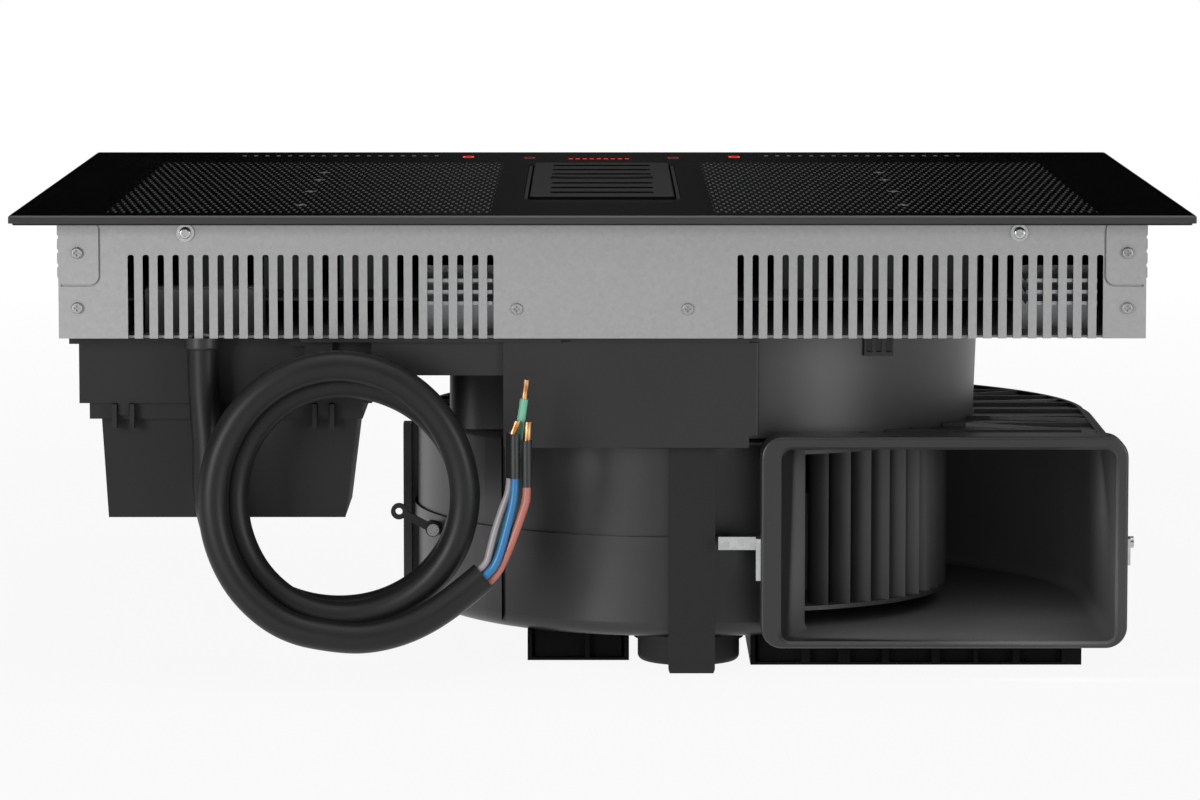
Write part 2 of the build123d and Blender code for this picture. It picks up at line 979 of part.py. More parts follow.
def fan_rotor(side):
    x = side * fan_x
    low = casing_floor_z + fan_spoke_height + fan_motor_height / 3 + fan_end_gap
    high = casing_floor_z + fan_height - fan_end_gap
    rotor = rod(0, 0, low, high, fan_hub_radius)
    tip = fan_bore_radius - fan_tip_gap
    blades = []
    for number in range(fan_blades):
        width = fan_blade_fill * (high - low) / sin(radians(fan_blade_tilt))
        root = fan_hub_radius - fan_blade_thickness
        blade = Pos((root + tip) / 2, 0, (low + high) / 2) * Rot(fan_blade_tilt, 0, 0) * Box(
            tip - root, fan_blade_thickness, width
        )
        blades.append(Rot(0, 0, 360 / fan_blades * number) * blade)
    rotor += blades
    rotor &= rod(0, 0, low, high, tip)
    rotor += rod(0, 0, casing_floor_z + 2 * fan_pin_floor, low, fan_pin_radius)
    return Pos(x, fan_y, 0) * rotor


def touch_board():
    top = glass_bottom_z - display_height
    board = box(
        -touch_board_width / 2,
        touch_board_width / 2,
        touch_board_y - touch_board_depth / 2,
        touch_board_y + touch_board_depth / 2,
        top - board_thickness,
        top,
    )
    for x_side in (-1, 1):
        for y_side in (-1, 1):
            x = x_side * (touch_board_width / 2 - standoff_inset)
            y = touch_board_y + y_side * (touch_board_depth / 2 - standoff_inset)
            board += rod(x, y, casing_floor_z, top, standoff_radius)
    return board


def display_modules():
    """Light blocks that press against the glass from below."""
    z0 = glass_bottom_z - display_height
    blocks = []
    for side in (-1, 1):
        for x, y in ((display_x, display_y), (timer_x, timer_y)):
            blocks.append(
                box(
                    side * x - display_width / 2,
                    side * x + display_width / 2,
                    y - display_depth / 2,
                    y + display_depth / 2,
                    z0,
                    glass_bottom_z,
                )
            )
    blocks.append(
        box(
            -slider_length / 2,
            slider_length / 2,
            slider_y - slider_width / 2,
            slider_y + slider_width / 2,
            z0,
            glass_bottom_z,
        )
    )
    return blocks


# ---- ducts under the casing


def duct_plate():
    """The flat flange that carries the ducts under the casing floor."""
    plate = box(plate_left_x, plate_right_x, plate_near_y, plate_far_y, duct_top_z, casing_bottom_z)
    plate -= slab(
        0,
        intake_centre_y,
        ledge_width,
        ledge_length,
        duct_top_z,
        casing_bottom_z,
        plate_hole_corner,
    )
    plate -= box(
        plate_notch_x - plate_notch / 2,
        plate_notch_x + plate_notch / 2,
        plate_near_y,
        plate_near_y + plate_thickness,
        duct_top_z,
        casing_bottom_z,
    )
    plate -= box(
        holder_left_x,
        holder_right_x,
        holder_near_y - holder_clearance,
        holder_far_y + holder_clearance,
        duct_top_z,
        casing_bottom_z,
    )
    plate -= box(
        bracket_left_x,
        bracket_right_x + holder_clearance,
        holder_near_y - bracket_reach - holder_clearance,
        holder_near_y,
        duct_top_z,
        casing_bottom_z,
    )
    return plate


def central_duct():
    """Collecting box under the intake; its right wall is open to the inlet drum."""
    outer = box(duct_left_x, duct_right_x, duct_near_y, duct_far_y, shell_top_z, duct_top_z)
    inner = box(
        duct_left_x + duct_wall,
        duct_right_x - duct_wall,
        duct_near_y + duct_wall,
        duct_far_y - duct_wall,
        shell_top_z + duct_wall,
        duct_top_z,
    )
    duct = outer - inner
    front_wall_y = duct_near_y + duct_wall
    duct += box(duct_left_x, duct_right_x, duct_near_y, front_wall_y, duct_lip_bottom_z, duct_top_z)
    duct -= rod(blower_x, blower_y, duct_lip_bottom_z, duct_top_z, eye_radius)
    duct -= box(
        duct_right_x - duct_wall,
        duct_right_x,
        blower_y - drum_mouth_half,
        blower_y + drum_mouth_half,
        shell_top_z + duct_wall,
        duct_top_z - duct_wall,
    )
    duct -= box(
        duct_left_x,
        duct_left_x + duct_wall,
        cross_duct_near_y + duct_wall,
        cross_duct_far_y - duct_wall,
        cross_duct_bottom_z + duct_wall,
        duct_top_z - duct_wall,
    )
    return duct + duct_strip()


def duct_strip():
    """Upright flange on the near right corner of the collecting box."""
    strip = box(
        duct_right_x,
        duct_right_x + duct_strip_width,
        duct_near_y,
        duct_near_y + duct_strip_depth,
        duct_strip_bottom_z,
        duct_top_z - duct_strip_top_gap,
    )
    corner = strip.edges().filter_by(Axis.Z).sort_by(lambda edge: edge.center().Y - edge.center().X)[0]
    return fillet(corner, duct_strip_edge)


def cross_duct():
    """Flat channel from the collecting box to the drip tray."""
    outer = box(
        holder_right_x,
        duct_left_x,
        cross_duct_near_y,
        cross_duct_far_y,
        cross_duct_bottom_z,
        duct_top_z,
    )
    inner = box(
        holder_right_x,
        duct_left_x,
        cross_duct_near_y + duct_wall,
        cross_duct_far_y - duct_wall,
        cross_duct_bottom_z + duct_wall,
        duct_top_z - duct_wall,
    )
    return outer - inner


def control_box():
    """Housing of the blower's electronics, between the ducts and the blower."""
    body = box(
        control_box_left_x,
        duct_left_x,
        control_box_near_y,
        control_box_far_y,
        shell_top_z,
        cross_duct_bottom_z,
    )
    outer = body.edges().filter_by(Axis.Z).sort_by(Axis.X)[:2]
    return fillet(outer, control_box_edge)


def drum_cone(radius_change, z0, z1):
    top = drum_top_radius + radius_change
    bottom = drum_bottom_radius + radius_change
    return Pos(blower_x, blower_y, (z0 + z1) / 2) * Cone(bottom, top, z1 - z0)


def inlet_drum():
    """Right half of the round inlet housing over the blower's eye."""
    drum = drum_cone(0, shell_top_z, casing_bottom_z)
    drum -= drum_cone(-duct_wall, shell_top_z + duct_wall, casing_bottom_z - duct_wall)
    drum -= rod(blower_x, blower_y, shell_top_z, shell_top_z + duct_wall, eye_radius)
    keep = box(
        duct_right_x,
        blower_x + 2 * drum_top_radius,
        blower_y - 2 * drum_top_radius,
        blower_y + 2 * drum_top_radius,
        shell_top_z,
        casing_bottom_z,
    )
    return drum & keep


def drum_connector():
    """Small plug housing on the drum, just under the casing."""
    angle_x = connector_x - blower_x
    front_y = blower_y - (drum_top_radius**2 - angle_x**2) ** 0.5
    z1 = casing_bottom_z
    z0 = z1 - connector_height
    body = box(
        connector_x - connector_width / 2,
        connector_x + connector_width / 2,
        front_y - connector_depth,
        front_y + connector_depth,
        z0,
        z1,
    )
    body -= drum_cone(drum_fit_gap, shell_top_z, casing_bottom_z)
    for number in range(connector_pins):
        x = connector_x + (number - (connector_pins - 1) / 2) * (connector_width / connector_pins)
        body -= box(
            x - connector_pin_width / 2,
            x + connector_pin_width / 2,
            front_y - connector_depth,
            front_y - connector_depth + connector_pin_depth,
            z0 + connector_pin_depth,
            z1 - connector_pin_depth,
        )
    return body


# ---- blower housing


def biarc(start, start_way, end, end_way):
    """Two tangent arcs from start to end that leave and arrive along the given ways."""
    p0, p1 = Vector(start), Vector(end)
    t0, t1 = Vector(start_way).normalized(), Vector(end_way).normalized()
    gap = p1 - p0
    both = t0 + t1
    a = both.dot(both) - 4
    b = -2 * gap.dot(both)
    c = gap.dot(gap)
    reach = (-b - (b * b - 4 * a * c) ** 0.5) / (2 * a)
    if reach < 0:
        reach = (-b + (b * b - 4 * a * c) ** 0.5) / (2 * a)
    q0 = p0 + t0 * reach
    q1 = p1 - t1 * reach
    middle = (q0 + q1) * 0.5
    first = Edge.make_tangent_arc(p0, t0, middle)
    second = Edge.make_tangent_arc(middle, q1 - q0, p1)
    return [first, second]


def scroll_face(grow, mouth_y):
    """Outline of the blower scroll seen from above; grow moves every wall outward."""
    right = (scroll_right_x + grow, blower_y, 0)
    back = (scroll_back_at_x, scroll_back_y + grow, 0)
    left = (scroll_left_x - grow, scroll_left_at_y, 0)
    front = (scroll_front_at_x, scroll_front_y - grow, 0)
    tongue = (tongue_x - grow - scroll_wall, tongue_y - grow - scroll_wall, 0)
    mouth_left = (tongue[0] + tongue_slope * (mouth_y - tongue[1]), mouth_y, 0)
    mouth_right = (right[0], mouth_y, 0)
    edges = [Edge.make_line(mouth_right, right)]
    edges += biarc(right, (0, 1, 0), back, (-1, 0, 0))
    edges += biarc(back, (-1, 0, 0), left, (0, -1, 0))
    edges += biarc(left, (0, -1, 0), front, (1, 0, 0))
    edges.append(Edge.make_tangent_arc(front, (1, 0, 0), tongue))
    edges.append(Edge.make_line(tongue, mouth_left))
    edges.append(Edge.make_line(mouth_left, mouth_right))
    return Face(Wire(edges))


def scroll_solid(grow, mouth_y, z0, z1):
    return Pos(0, 0, z0) * extrude(scroll_face(grow, mouth_y), z1 - z0)


def round_rim(solid, top, radius):
    """Round the outer top or bottom edge, but not the edge at the outlet's mouth."""
    face = solid.faces().sort_by(Axis.Z)[-1 if top else 0]
    edges = [edge for edge in face.edges() if edge.length > 3 * radius]
    curved = [edge for edge in edges if edge.geom_type == GeomType.CIRCLE]
    return fillet(curved, radius)


def collar():
    """Thick rounded frame round the outlet's mouth."""
    x = (collar_left_x + collar_right_x) / 2
    z = (collar_top_z + collar_bottom_z) / 2
    width = collar_right_x - collar_left_x
    height = collar_top_z - collar_bottom_z
    profile = Rot(90, 0, 0) * RectangleRounded(width, height, collar_radius)
    ring = extrude(Pos(x, outlet_y + collar_depth, z) * profile, collar_depth)
    front = ring.faces().sort_by(Axis.Y)[0]
    return fillet(front.edges(), collar_edge)


tongue_slope = (tongue_x - outlet_left_x) / (tongue_y - outlet_y)


def bore_outline(y, grow):
    """Rounded outline of the opening at one depth; its left side follows the slant toward the tongue."""
    x0 = outlet_left_x + tongue_slope * (y - outlet_y) - grow
    x1 = scroll_right_x - scroll_wall + grow
    height = ceiling_z - floor_z + 2 * grow
    outline = RectangleRounded(x1 - x0, height, outlet_radius + grow)
    return Pos((x0 + x1) / 2, y, (ceiling_z + floor_z) / 2) * Rot(90, 0, 0) * outline


def outlet_bore():
    """The rounded opening that runs through the collar into the scroll, with a chamfered front edge."""
    lip = bore_outline(outlet_y, collar_lip)
    front = bore_outline(outlet_y + collar_lip, 0)
    back = bore_outline(outlet_y + collar_overlap, 0)
    return loft(Sketch() + [lip, front]) + loft(Sketch() + [front, back])


def top_ribs():
    """Rows, spokes and a rim that stiffen the roof of the scroll outside the ducts."""
    inset = top_edge_radius + rib_clearance
    mouth_y = outlet_y + collar_depth
    area = scroll_solid(-inset, mouth_y, shell_top_z, rib_top_z)
    rim = area - scroll_solid(-inset - rib_width, mouth_y, shell_top_z, rib_top_z)
    rows = [rim]
    y = rib_first_y
    while y < scroll_back_y:
        rows.append(box(scroll_left_x, scroll_right_x, y, y + rib_width, shell_top_z, rib_top_z) & area)
        y += rib_rows_pitch
    reach = scroll_right_x - scroll_left_x
    for number in range(int(360 / rib_spoke_angle)):
        spoke = Pos(reach / 2, 0, (shell_top_z + rib_top_z) / 2) * Box(reach, rib_width, rib_height)
        rows.append((Pos(blower_x, blower_y, 0) * Rot(0, 0, number * rib_spoke_angle) * spoke) & area)
    ribs = rows[0] + rows[1:]
    ribs -= drum_cone(rib_clearance, shell_top_z, casing_bottom_z)
    ribs -= box(
        control_box_left_x - rib_clearance,
        duct_right_x + rib_clearance,
        outlet_y,
        duct_far_y + rib_clearance,
        shell_top_z,
        duct_top_z,
    )
    return ribs


seam_lugs = (
    (scroll_right_x, -40.0, 0.0, seam_lug_reach),
    (scroll_back_at_x, scroll_back_y, 90.0, seam_lug_reach),
)


def seam_lug(x, y, angle, reach, z0, z1):
    """A small ear on the seam that takes a screw."""
    length = reach + seam_lug_root
    ear = Pos(length / 2 - seam_lug_root, 0, 0) * Box(length, seam_lug_width, z1 - z0)
    return Pos(x, y, (z0 + z1) / 2) * Rot(0, 0, angle) * ear


def seam_clips():
    """Metal clips on both sides of the collar; the left one has a bar along the seam, the right a knob."""
    low = seam_z - clip_below_seam
    high = seam_z + clip_above_seam
    bar_y = outlet_y + clip_bar_setback
    left_x = collar_left_x
    bar = box(left_x - clip_bar_length, left_x, bar_y, bar_y + clip_bar_depth, low, high)
    plate_y = outlet_y + clip_plate_setback
    bar += box(
        left_x - clip_plate, left_x, plate_y, bar_y + clip_bar_depth, seam_z - clip_plate_drop, high
    )
    right_x = collar_right_x
    plate = box(
        right_x,
        right_x + clip_right_plate,
        plate_y,
        bar_y + clip_bar_depth,
        seam_z - clip_plate_drop / 2,
        high,
    )
    knob = Rot(0, 90, 0) * Cylinder(clip_knob_radius, clip_knob_height)
    knob_x = right_x + clip_right_plate + clip_knob_height / 2
    plate += Pos(knob_x, bar_y, seam_z + clip_knob_lift - clip_knob_radius / 2) * knob
    return bar, plate


def side_post(z0, z1):
    """Upright flange on the left of the scroll, joined to the wall by a web."""
    post = box(post_left_x, post_right_x, post_near_y, post_far_y, z0, z1)
    return post + box(post_right_x, scroll_left_x + scroll_wall / 2, post_far_y - post_web, post_far_y, z0, z1)


def cable_eyelet():
    """Ring on a slanting arm, with the boss that carries it and takes its screw."""
    way = Vector(eyelet_screw_x - eyelet_x, 0, eyelet_screw_z - eyelet_z)
    tilt = Vector(1, 0, 0).get_signed_angle(way, Vector(0, -1, 0))
    middle_y = eyelet_near_y + eyelet_thickness / 2
    arm = Box(way.length, eyelet_thickness, eyelet_arm_width)
    middle = Pos((eyelet_x + eyelet_screw_x) / 2, middle_y, (eyelet_z + eyelet_screw_z) / 2)
    hook = middle * Rot(0, -tilt, 0) * arm
    hook += Pos(eyelet_x, middle_y, eyelet_z) * Rot(90, 0, 0) * Cylinder(eyelet_radius, eyelet_thickness)
    hook -= Pos(eyelet_x, middle_y, eyelet_z) * Rot(90, 0, 0) * Cylinder(eyelet_hole_radius, eyelet_thickness)
    length = eyelet_wall_y() + eyelet_boss_root - eyelet_near_y
    boss = Rot(90, 0, 0) * Cylinder(eyelet_boss_radius, length)
    return hook + Pos(eyelet_screw_x, eyelet_near_y + length / 2, eyelet_screw_z) * boss


def eyelet_wall_y():
    """Where the scroll's outer wall lies straight behind the eyelet's screw."""
    outline = scroll_face(0, outlet_y + collar_overlap)
    line = Edge.make_line((eyelet_screw_x, scroll_front_y, 0), (eyelet_screw_x, scroll_left_at_y, 0))
    return (line & outline).vertices().sort_by(Axis.Y)[0].Y


def wall_groove(z0, z1):
    """Upright groove in the near left of the scroll's wall."""
    ring = scroll_solid(seam_bead, outlet_y + collar_overlap, z0, z1)
    ring -= scroll_solid(-groove_depth, outlet_y + collar_overlap, z0, z1)
    x0 = groove_x - groove_width / 2
    return ring & box(x0, x0 + groove_width, scroll_front_y, scroll_left_at_y, z0, z1)


def scroll_cavity():
    """The air space inside the scroll, with its lower edge rounded."""
    cavity = scroll_solid(-scroll_wall, outlet_y + collar_overlap, floor_z, ceiling_z)
    floor = cavity.faces().sort_by(Axis.Z)[0]
    curved = [edge for edge in floor.edges() if edge.geom_type == GeomType.CIRCLE]
    return fillet(curved, bottom_edge_radius - scroll_wall)


def blower_shell(upper):
    """Upper or lower half of the scroll housing, split at the seam."""
    z0 = seam_z if upper else shell_bottom_z
    z1 = shell_top_z if upper else seam_z
    shell = scroll_solid(0, outlet_y + collar_overlap, z0, z1)
    shell = round_rim(shell, upper, top_edge_radius if upper else bottom_edge_radius)
    bead_z = seam_z if upper else seam_z - seam_bead_height
    shell += scroll_solid(seam_bead, outlet_y + collar_overlap, bead_z, bead_z + seam_bead_height)
    half = box(
        collar_left_x,
        collar_right_x,
        outlet_y,
        outlet_y + collar_depth,
        seam_z if upper else collar_bottom_z,
        collar_top_z if upper else seam_z,
    )
    shell += collar() & half
    for x, y, angle, reach in seam_lugs:
        lug_z = seam_z if upper else seam_z - seam_lug_thickness
        shell += seam_lug(x, y, angle, reach, lug_z, lug_z + seam_lug_thickness)
    if upper:
        shell = shell + side_post(z0, z1 - post_end_gap) + top_ribs()
    else:
        shell = shell + side_post(z0 + post_end_gap, z1) + cable_eyelet()
    shell -= wall_groove(z0, z1)
    shell -= scroll_cavity()
    shell -= outlet_bore()
    if upper:
        shell -= rod(blower_x, blower_y, ceiling_z, shell_top_z, eye_radius)
    return shell


def seam_screws():
    screws = []
    for x, y, angle, reach in seam_lugs:
        px = x + (reach - seam_screw_inset) * cos(radians(angle))
        py = y + (reach - seam_screw_inset) * sin(radians(angle))
        z = seam_z + seam_lug_thickness
        screws.append(rod(px, py, z, z + seam_screw_height, seam_screw_radius))
    head = Rot(90, 0, 0) * Cylinder(seam_screw_radius, seam_screw_height)
    screws.append(Pos(eyelet_screw_x, eyelet_near_y - seam_screw_height / 2, eyelet_screw_z) * head)
    return screws


# ---- wheel and motor


def wheel_blade():
    """One forward-curved blade, seen from above, on the +X side."""
    inner = (wheel_inner_radius, 0)
    outer_x = wheel_radius - wheel_blade_inset
    bow = wheel_blade_bow
    with BuildSketch() as sketch:
        with BuildLine():
            ThreePointArc(inner, ((wheel_inner_radius + outer_x) / 2, -bow), (outer_x, bow))
        trace(line_width=wheel_blade_thickness)
    return sketch.sketch


def blower_wheel():
    wheel = rod(0, 0, wheel_bottom_z, wheel_bottom_z + wheel_ring, wheel_radius)
    wheel -= rod(0, 0, wheel_bottom_z, wheel_bottom_z + wheel_ring, cup_radius - cup_wall)
    cup = rod(0, 0, wheel_bottom_z, cup_top_z, cup_radius)
    cup -= rod(0, 0, wheel_bottom_z, cup_top_z - cup_wall, cup_radius - cup_wall)
    hub = rod(0, 0, cup_top_z - hub_length, cup_top_z, hub_radius)
    top = rod(0, 0, wheel_top_z - wheel_ring, wheel_top_z, wheel_radius)
    top -= rod(0, 0, wheel_top_z - wheel_ring, wheel_top_z, wheel_inner_radius - wheel_blade_thickness)
    z0 = wheel_bottom_z + wheel_ring / 2
    height = wheel_top_z - wheel_bottom_z - wheel_ring
    blade = Pos(0, 0, z0) * extrude(wheel_blade(), height)
    blades = [Rot(0, 0, 360 / wheel_blades * number) * blade for number in range(wheel_blades)]
    wheel = wheel + [cup, hub, top] + blades
    wheel -= rod(0, 0, wheel_bottom_z, shaft_top_z, shaft_radius + shaft_gap)
    return Pos(blower_x, blower_y, 0) * wheel


def motor_shaft():
    return rod(blower_x, blower_y, shaft_bottom_z, shaft_top_z, shaft_radius)


def blower_motor():
    motor = rod(blower_x, blower_y, floor_z, motor_top_z, motor_radius)
    motor = fillet(motor.edges().filter_by(GeomType.CIRCLE).sort_by(Axis.Z)[-1], motor_edge)
    motor += rod(blower_x, blower_y, floor_z, floor_z + motor_flange, motor_flange_radius)
    bore_bottom_z = shaft_bottom_z - shaft_end_gap
    return motor - rod(blower_x, blower_y, bore_bottom_z, motor_top_z, shaft_radius + shaft_gap)


def motor_screw_heads():
    heads = []
    for number in range(motor_screws):
        angle = radians(360 / motor_screws * (number + 0.5))
        x = blower_x + motor_screw_circle * cos(angle)
        y = blower_y + motor_screw_circle * sin(angle)
        heads.append(rod(x, y, shell_bottom_z - motor_screw_height, shell_bottom_z, motor_screw_radius))
    return heads


# ---- what hangs and stands under the blower


def hanger_strap():
    """Flat strap from the duct down past the blower, folded back under the rubber mount."""
    y0 = strap_y
    y1 = strap_y + strap_thickness
    strap = box(strap_left_x, strap_right_x, y0, y1, strap_bottom_z, shell_top_z)
    strap += box(
        strap_left_x,
        strap_right_x,
        y0,
        y0 + strap_foot_length,
        strap_bottom_z,
        strap_bottom_z + strap_thickness,
    )
    strap += box(
        strap_left_x,
        strap_right_x,
        y0 - strap_flange_length,
        y1,
        shell_top_z - strap_thickness,
        shell_top_z,
    )
    corners = strap.edges().filter_by(Axis.Y).group_by(Axis.Z)[0]
    return chamfer(corners, strap_corner, strap_thickness / 2)


def rubber_damper():
    z0 = strap_bottom_z + strap_thickness
    mount = rod(damper_x, damper_y, z0, shell_bottom_z, damper_radius)
    mount = fillet(mount.edges().filter_by(GeomType.CIRCLE).sort_by(Axis.Z)[0], damper_edge)
    flange_z = shell_bottom_z - damper_flange
    return mount + rod(damper_x, damper_y, flange_z, shell_bottom_z, damper_flange_radius)


def foot_frame(x0, x1, y0, y1, rib_spots):
    """A low rectangular frame under the blower: a recessed web, a bottom flange and upright ribs."""
    outer = box(x0, x1, y0, y1, foot_bottom_z, shell_bottom_z)
    outer -= box(
        x0 + foot_wall + foot_rib_depth,
        x1 - foot_wall - foot_rib_depth,
        y0 + foot_wall + foot_rib_depth,
        y1 - foot_wall - foot_rib_depth,
        foot_bottom_z,
        shell_bottom_z,
    )
    groove = box(x0, x1, y0, y1, foot_bottom_z + foot_flange, shell_bottom_z)
    groove -= box(
        x0 + foot_rib_depth,
        x1 - foot_rib_depth,
        y0 + foot_rib_depth,
        y1 - foot_rib_depth,
        foot_bottom_z,
        shell_bottom_z,
    )
    frame = outer - groove
    ribs = []
    for x, width in rib_spots:
        ribs.append(box(x, x + width, y0, y0 + foot_rib_depth, foot_bottom_z, shell_bottom_z))
        ribs.append(box(x, x + width, y1 - foot_rib_depth, y1, foot_bottom_z, shell_bottom_z))
    ribs.append(box(x0, x0 + foot_wall, y0, y1, foot_bottom_z, shell_bottom_z))
    ribs.append(box(x1 - foot_wall, x1, y0, y1, foot_bottom_z, shell_bottom_z))
    return frame + ribs


# ---- drip tray and holder


def tray_holder():
    """Open-bottomed housing that the drip tray clips up into."""
    holder = box(
        holder_left_x,
        holder_right_x,
        holder_near_y,
        holder_far_y,
        holder_bottom_z,
        casing_bottom_z,
    )
    holder -= box(
        holder_left_x + holder_wall,
        holder_right_x - holder_wall,
        holder_near_y + holder_wall,
        holder_far_y - holder_wall,
        holder_bottom_z,
        casing_bottom_z - holder_wall,
    )
    holder -= box(
        holder_right_x - holder_wall,
        holder_right_x,
        cross_duct_near_y + 3 * duct_wall + holder_wall,
        cross_duct_far_y - duct_wall,
        cross_duct_bottom_z + duct_wall,
        duct_top_z - duct_wall,
    )
    holder += box(
        holder_left_x - lug_reach,
        holder_left_x,
        holder_near_y,
        holder_near_y + lug_length,
        casing_bottom_z - lug_height,
        casing_bottom_z,
    )
    for x in (fork_left_x, fork_right_x):
        half = fork_gap / 2 - tongue_gap
        holder += box(
            x - half,
            x + half,
            holder_near_y,
            holder_near_y + holder_wall,
            holder_bottom_z - fork_height / 2,
            holder_bottom_z,
        )
    for x0, height in ((bracket_left_x, bracket_height), (bracket_step_x, bracket_step_height)):
        holder += box(
            x0,
            bracket_right_x,
            holder_near_y - bracket_reach,
            holder_near_y,
            casing_bottom_z - height,
            casing_bottom_z,
        )
    return holder


def tray_block(insets, z0, z1, tapers):
    """A block under the holder, set in from its left, right and ends, with its bottom drawn in."""
    faces = []
    for z, drawn in ((z1, (0, 0, 0)), (z0, tapers)):
        left, right, end = (inset + taper for inset, taper in zip(insets, drawn))
        x0 = holder_left_x + left
        x1 = holder_right_x - right
        y0 = holder_near_y + end
        y1 = holder_far_y - end
        faces.append(Pos((x0 + x1) / 2, (y0 + y1) / 2, z) * Rectangle(x1 - x0, y1 - y0))
    return loft(Sketch() + faces)


def drip_tray():
    """Catches liquid that runs through the intake; slides down off its holder."""
    z1 = holder_bottom_z - tray_seat_gap
    flange_z = z1 - tray_flange_height
    flange_insets = (tray_flange_inset, tray_flange_inset, tray_flange_inset / 2)
    body_insets = (tray_body_left_inset, tray_body_right_inset, tray_body_end_inset)
    tapers = (tray_left_taper, tray_right_taper, tray_end_taper)
    room_insets = tuple(inset + tray_wall for inset in body_insets)
    tray = tray_block(flange_insets, flange_z, z1, (0, 0, 0))
    tray += tray_block(body_insets, tray_bottom_z, flange_z, tapers)
    tray -= tray_block(room_insets, tray_bottom_z + tray_wall, z1, tapers)
    body_y = holder_near_y + tray_flange_inset / 2
    for x in (fork_left_x, fork_right_x):
        for side in (-1, 1):
            px = x + side * (fork_gap + fork_leg_width) / 2
            tray += box(
                px - fork_leg_width / 2,
                px + fork_leg_width / 2,
                body_y - fork_depth,
                body_y + fork_root,
                z1 - fork_height,
                z1,
            )
    return tray


# ---- mains lead


def cable_gland():
    gland = rod(gland_x, gland_y, casing_bottom_z - gland_height, casing_bottom_z, gland_radius)
    return fillet(gland.edges().filter_by(GeomType.CIRCLE).sort_by(Axis.Z)[0], gland_edge)


def turn_radius(before, corner, after):
    """Largest tangent arc that both runs leave room for, and the angle it turns."""
    first = Vector(corner) - Vector(before)
    second = Vector(after) - Vector(corner)
    angle = first.get_angle(second)
    return 0.45 * min(first.length, second.length) / tan(radians(angle) / 2)


def tube(route, radius, name):
    """A round tube along straight runs joined by tangent arcs."""
    corners = range(1, len(route) - 1)
    radii = [turn_radius(route[i - 1], route[i], route[i + 1]) for i in corners]
    path = FilletPolyline(*route, radius=radii)
    way = Vector(route[1]) - Vector(route[0])
    section = Plane(origin=route[0], z_dir=way) * Circle(radius)
    solid = sweep(section, path=path)
    share = solid.volume / (pi * radius**2 * path.length)
    print(name, "radii", [round(r, 1) for r in radii])
    print(name, "length", round(path.length, 1), "volume share", round(share, 4))
    return solid


def coil_points():
    """Quarter points of the coil with the way the lead runs through each."""
    ways = ((-1, 0), (0, -1), (1, 0), (0, 1))
    runs = ((0, -1), (1, 0), (0, 1), (-1, 0))
    points = []
    for number, (out, y) in enumerate(coil_quarters):
        side_x, side_z = ways[number % 4]
        run_x, run_z = runs[number % 4]
        points.append(((coil_x + side_x * out, y, coil_z + side_z * out), run_x, run_z))
    return points


def mains_cable_coil():
    """The coiled stretch: two and a quarter turns, each quarter a pair of tangent arcs."""
    points = coil_points()
    last = len(points) - 1
    ways = []
    for number, (place, run_x, run_z) in enumerate(points):
        climb = 0.0
        if 0 < number < last:
            climb = (points[number + 1][0][1] - points[number - 1][0][1]) / (pi * coil_mean_radius)
        ways.append((run_x, climb, run_z))
    edges = []
    for number in range(last):
        edges += biarc(points[number][0], ways[number], points[number + 1][0], ways[number + 1])
    path = Wire(edges)
    section = Plane(origin=points[0][0], z_dir=(0, 0, -1)) * Circle(cable_radius)
    solid = sweep(section, path=path)
    share = solid.volume / (pi * cable_radius**2 * path.length)
    print("coil length", round(path.length, 1), "volume share", round(share, 4), "self gap", self_gap(path))
    print("coil arcs", [round(edge.radius, 1) for edge in edges])
    return solid


def self_gap(path):
    """Least distance between stretches of the coil that are half a turn or more apart."""
    points = [path.position_at(number / coil_samples) for number in range(coil_samples + 1)]
    skip = int(pi * coil_mean_radius / path.length * coil_samples)
    gaps = []
    for first in range(coil_samples + 1 - skip):
        for second in range(first + skip, coil_samples + 1):
            gaps.append((points[first] - points[second]).length)
    least = min(gaps)
    return round(least - 2 * cable_radius, 2)


def drop_route():
    start = (gland_x, gland_y, casing_bottom_z - gland_height)
    coil_start = coil_points()[0][0]
    return (
        start,
        (gland_x, gland_y, drop_bend_high_z),
        (coil_start[0], coil_start[1], drop_bend_low_z),
        coil_start,
    )


def core_start(number):
    """Where a core leaves the cut end of the sheath."""
    end = Vector(tail_route[-1])
    way = (end - Vector(tail_route[-2])).normalized()
    face = Plane(origin=end, x_dir=(0, 1, 0), z_dir=way)
    angle = radians(core_first_angle + 360 / core_count * number)
    start = face.from_local_coords((core_circle * cos(angle), core_circle * sin(angle), 0))
    first = face.from_local_coords((core_circle * cos(angle), core_circle * sin(angle), core_exit))
    return tuple(start), tuple(first)


def core(number, route, name):
    start, first = core_start(number)
    return tube((start, first) + route, core_radius, name)


def sleeve_between(first, second, top_z):
    """Black shrink sleeve over two cores that end side by side."""
    radius = core_radius + sleeve_wall
    ends = Vector(second) - Vector(first)
    middle = (Vector(first) + Vector(second)) * 0.5
    angle = Vector(1, 0, 0).get_signed_angle(Vector(ends.X, ends.Y, 0), Vector(0, 0, 1))
    outline = Rot(0, 0, angle) * SlotCenterToCenter(ends.length, 2 * radius)
    return extrude(Pos(middle.X, middle.Y, first[2]) * outline, top_z - first[2])


def core_sleeves():
    return (
        sleeve_between(grey_route[-1], blue_route[-1], sleeve_grey_blue_top_z),
        sleeve_between(brown_route[-1], black_route[-1], sleeve_brown_black_top_z),
    )


def ferrule(first, second, base_z, tip):
    """Crimped copper end that leans from the middle of a sleeve's top to its tip."""
    middle = (Vector(first) + Vector(second)) * 0.5
    base = Vector(middle.X, middle.Y, base_z)
    lean = Vector(tip) - base
    return extrude(Pos(base) * Circle(ferrule_radius), amount=lean.length, dir=lean)


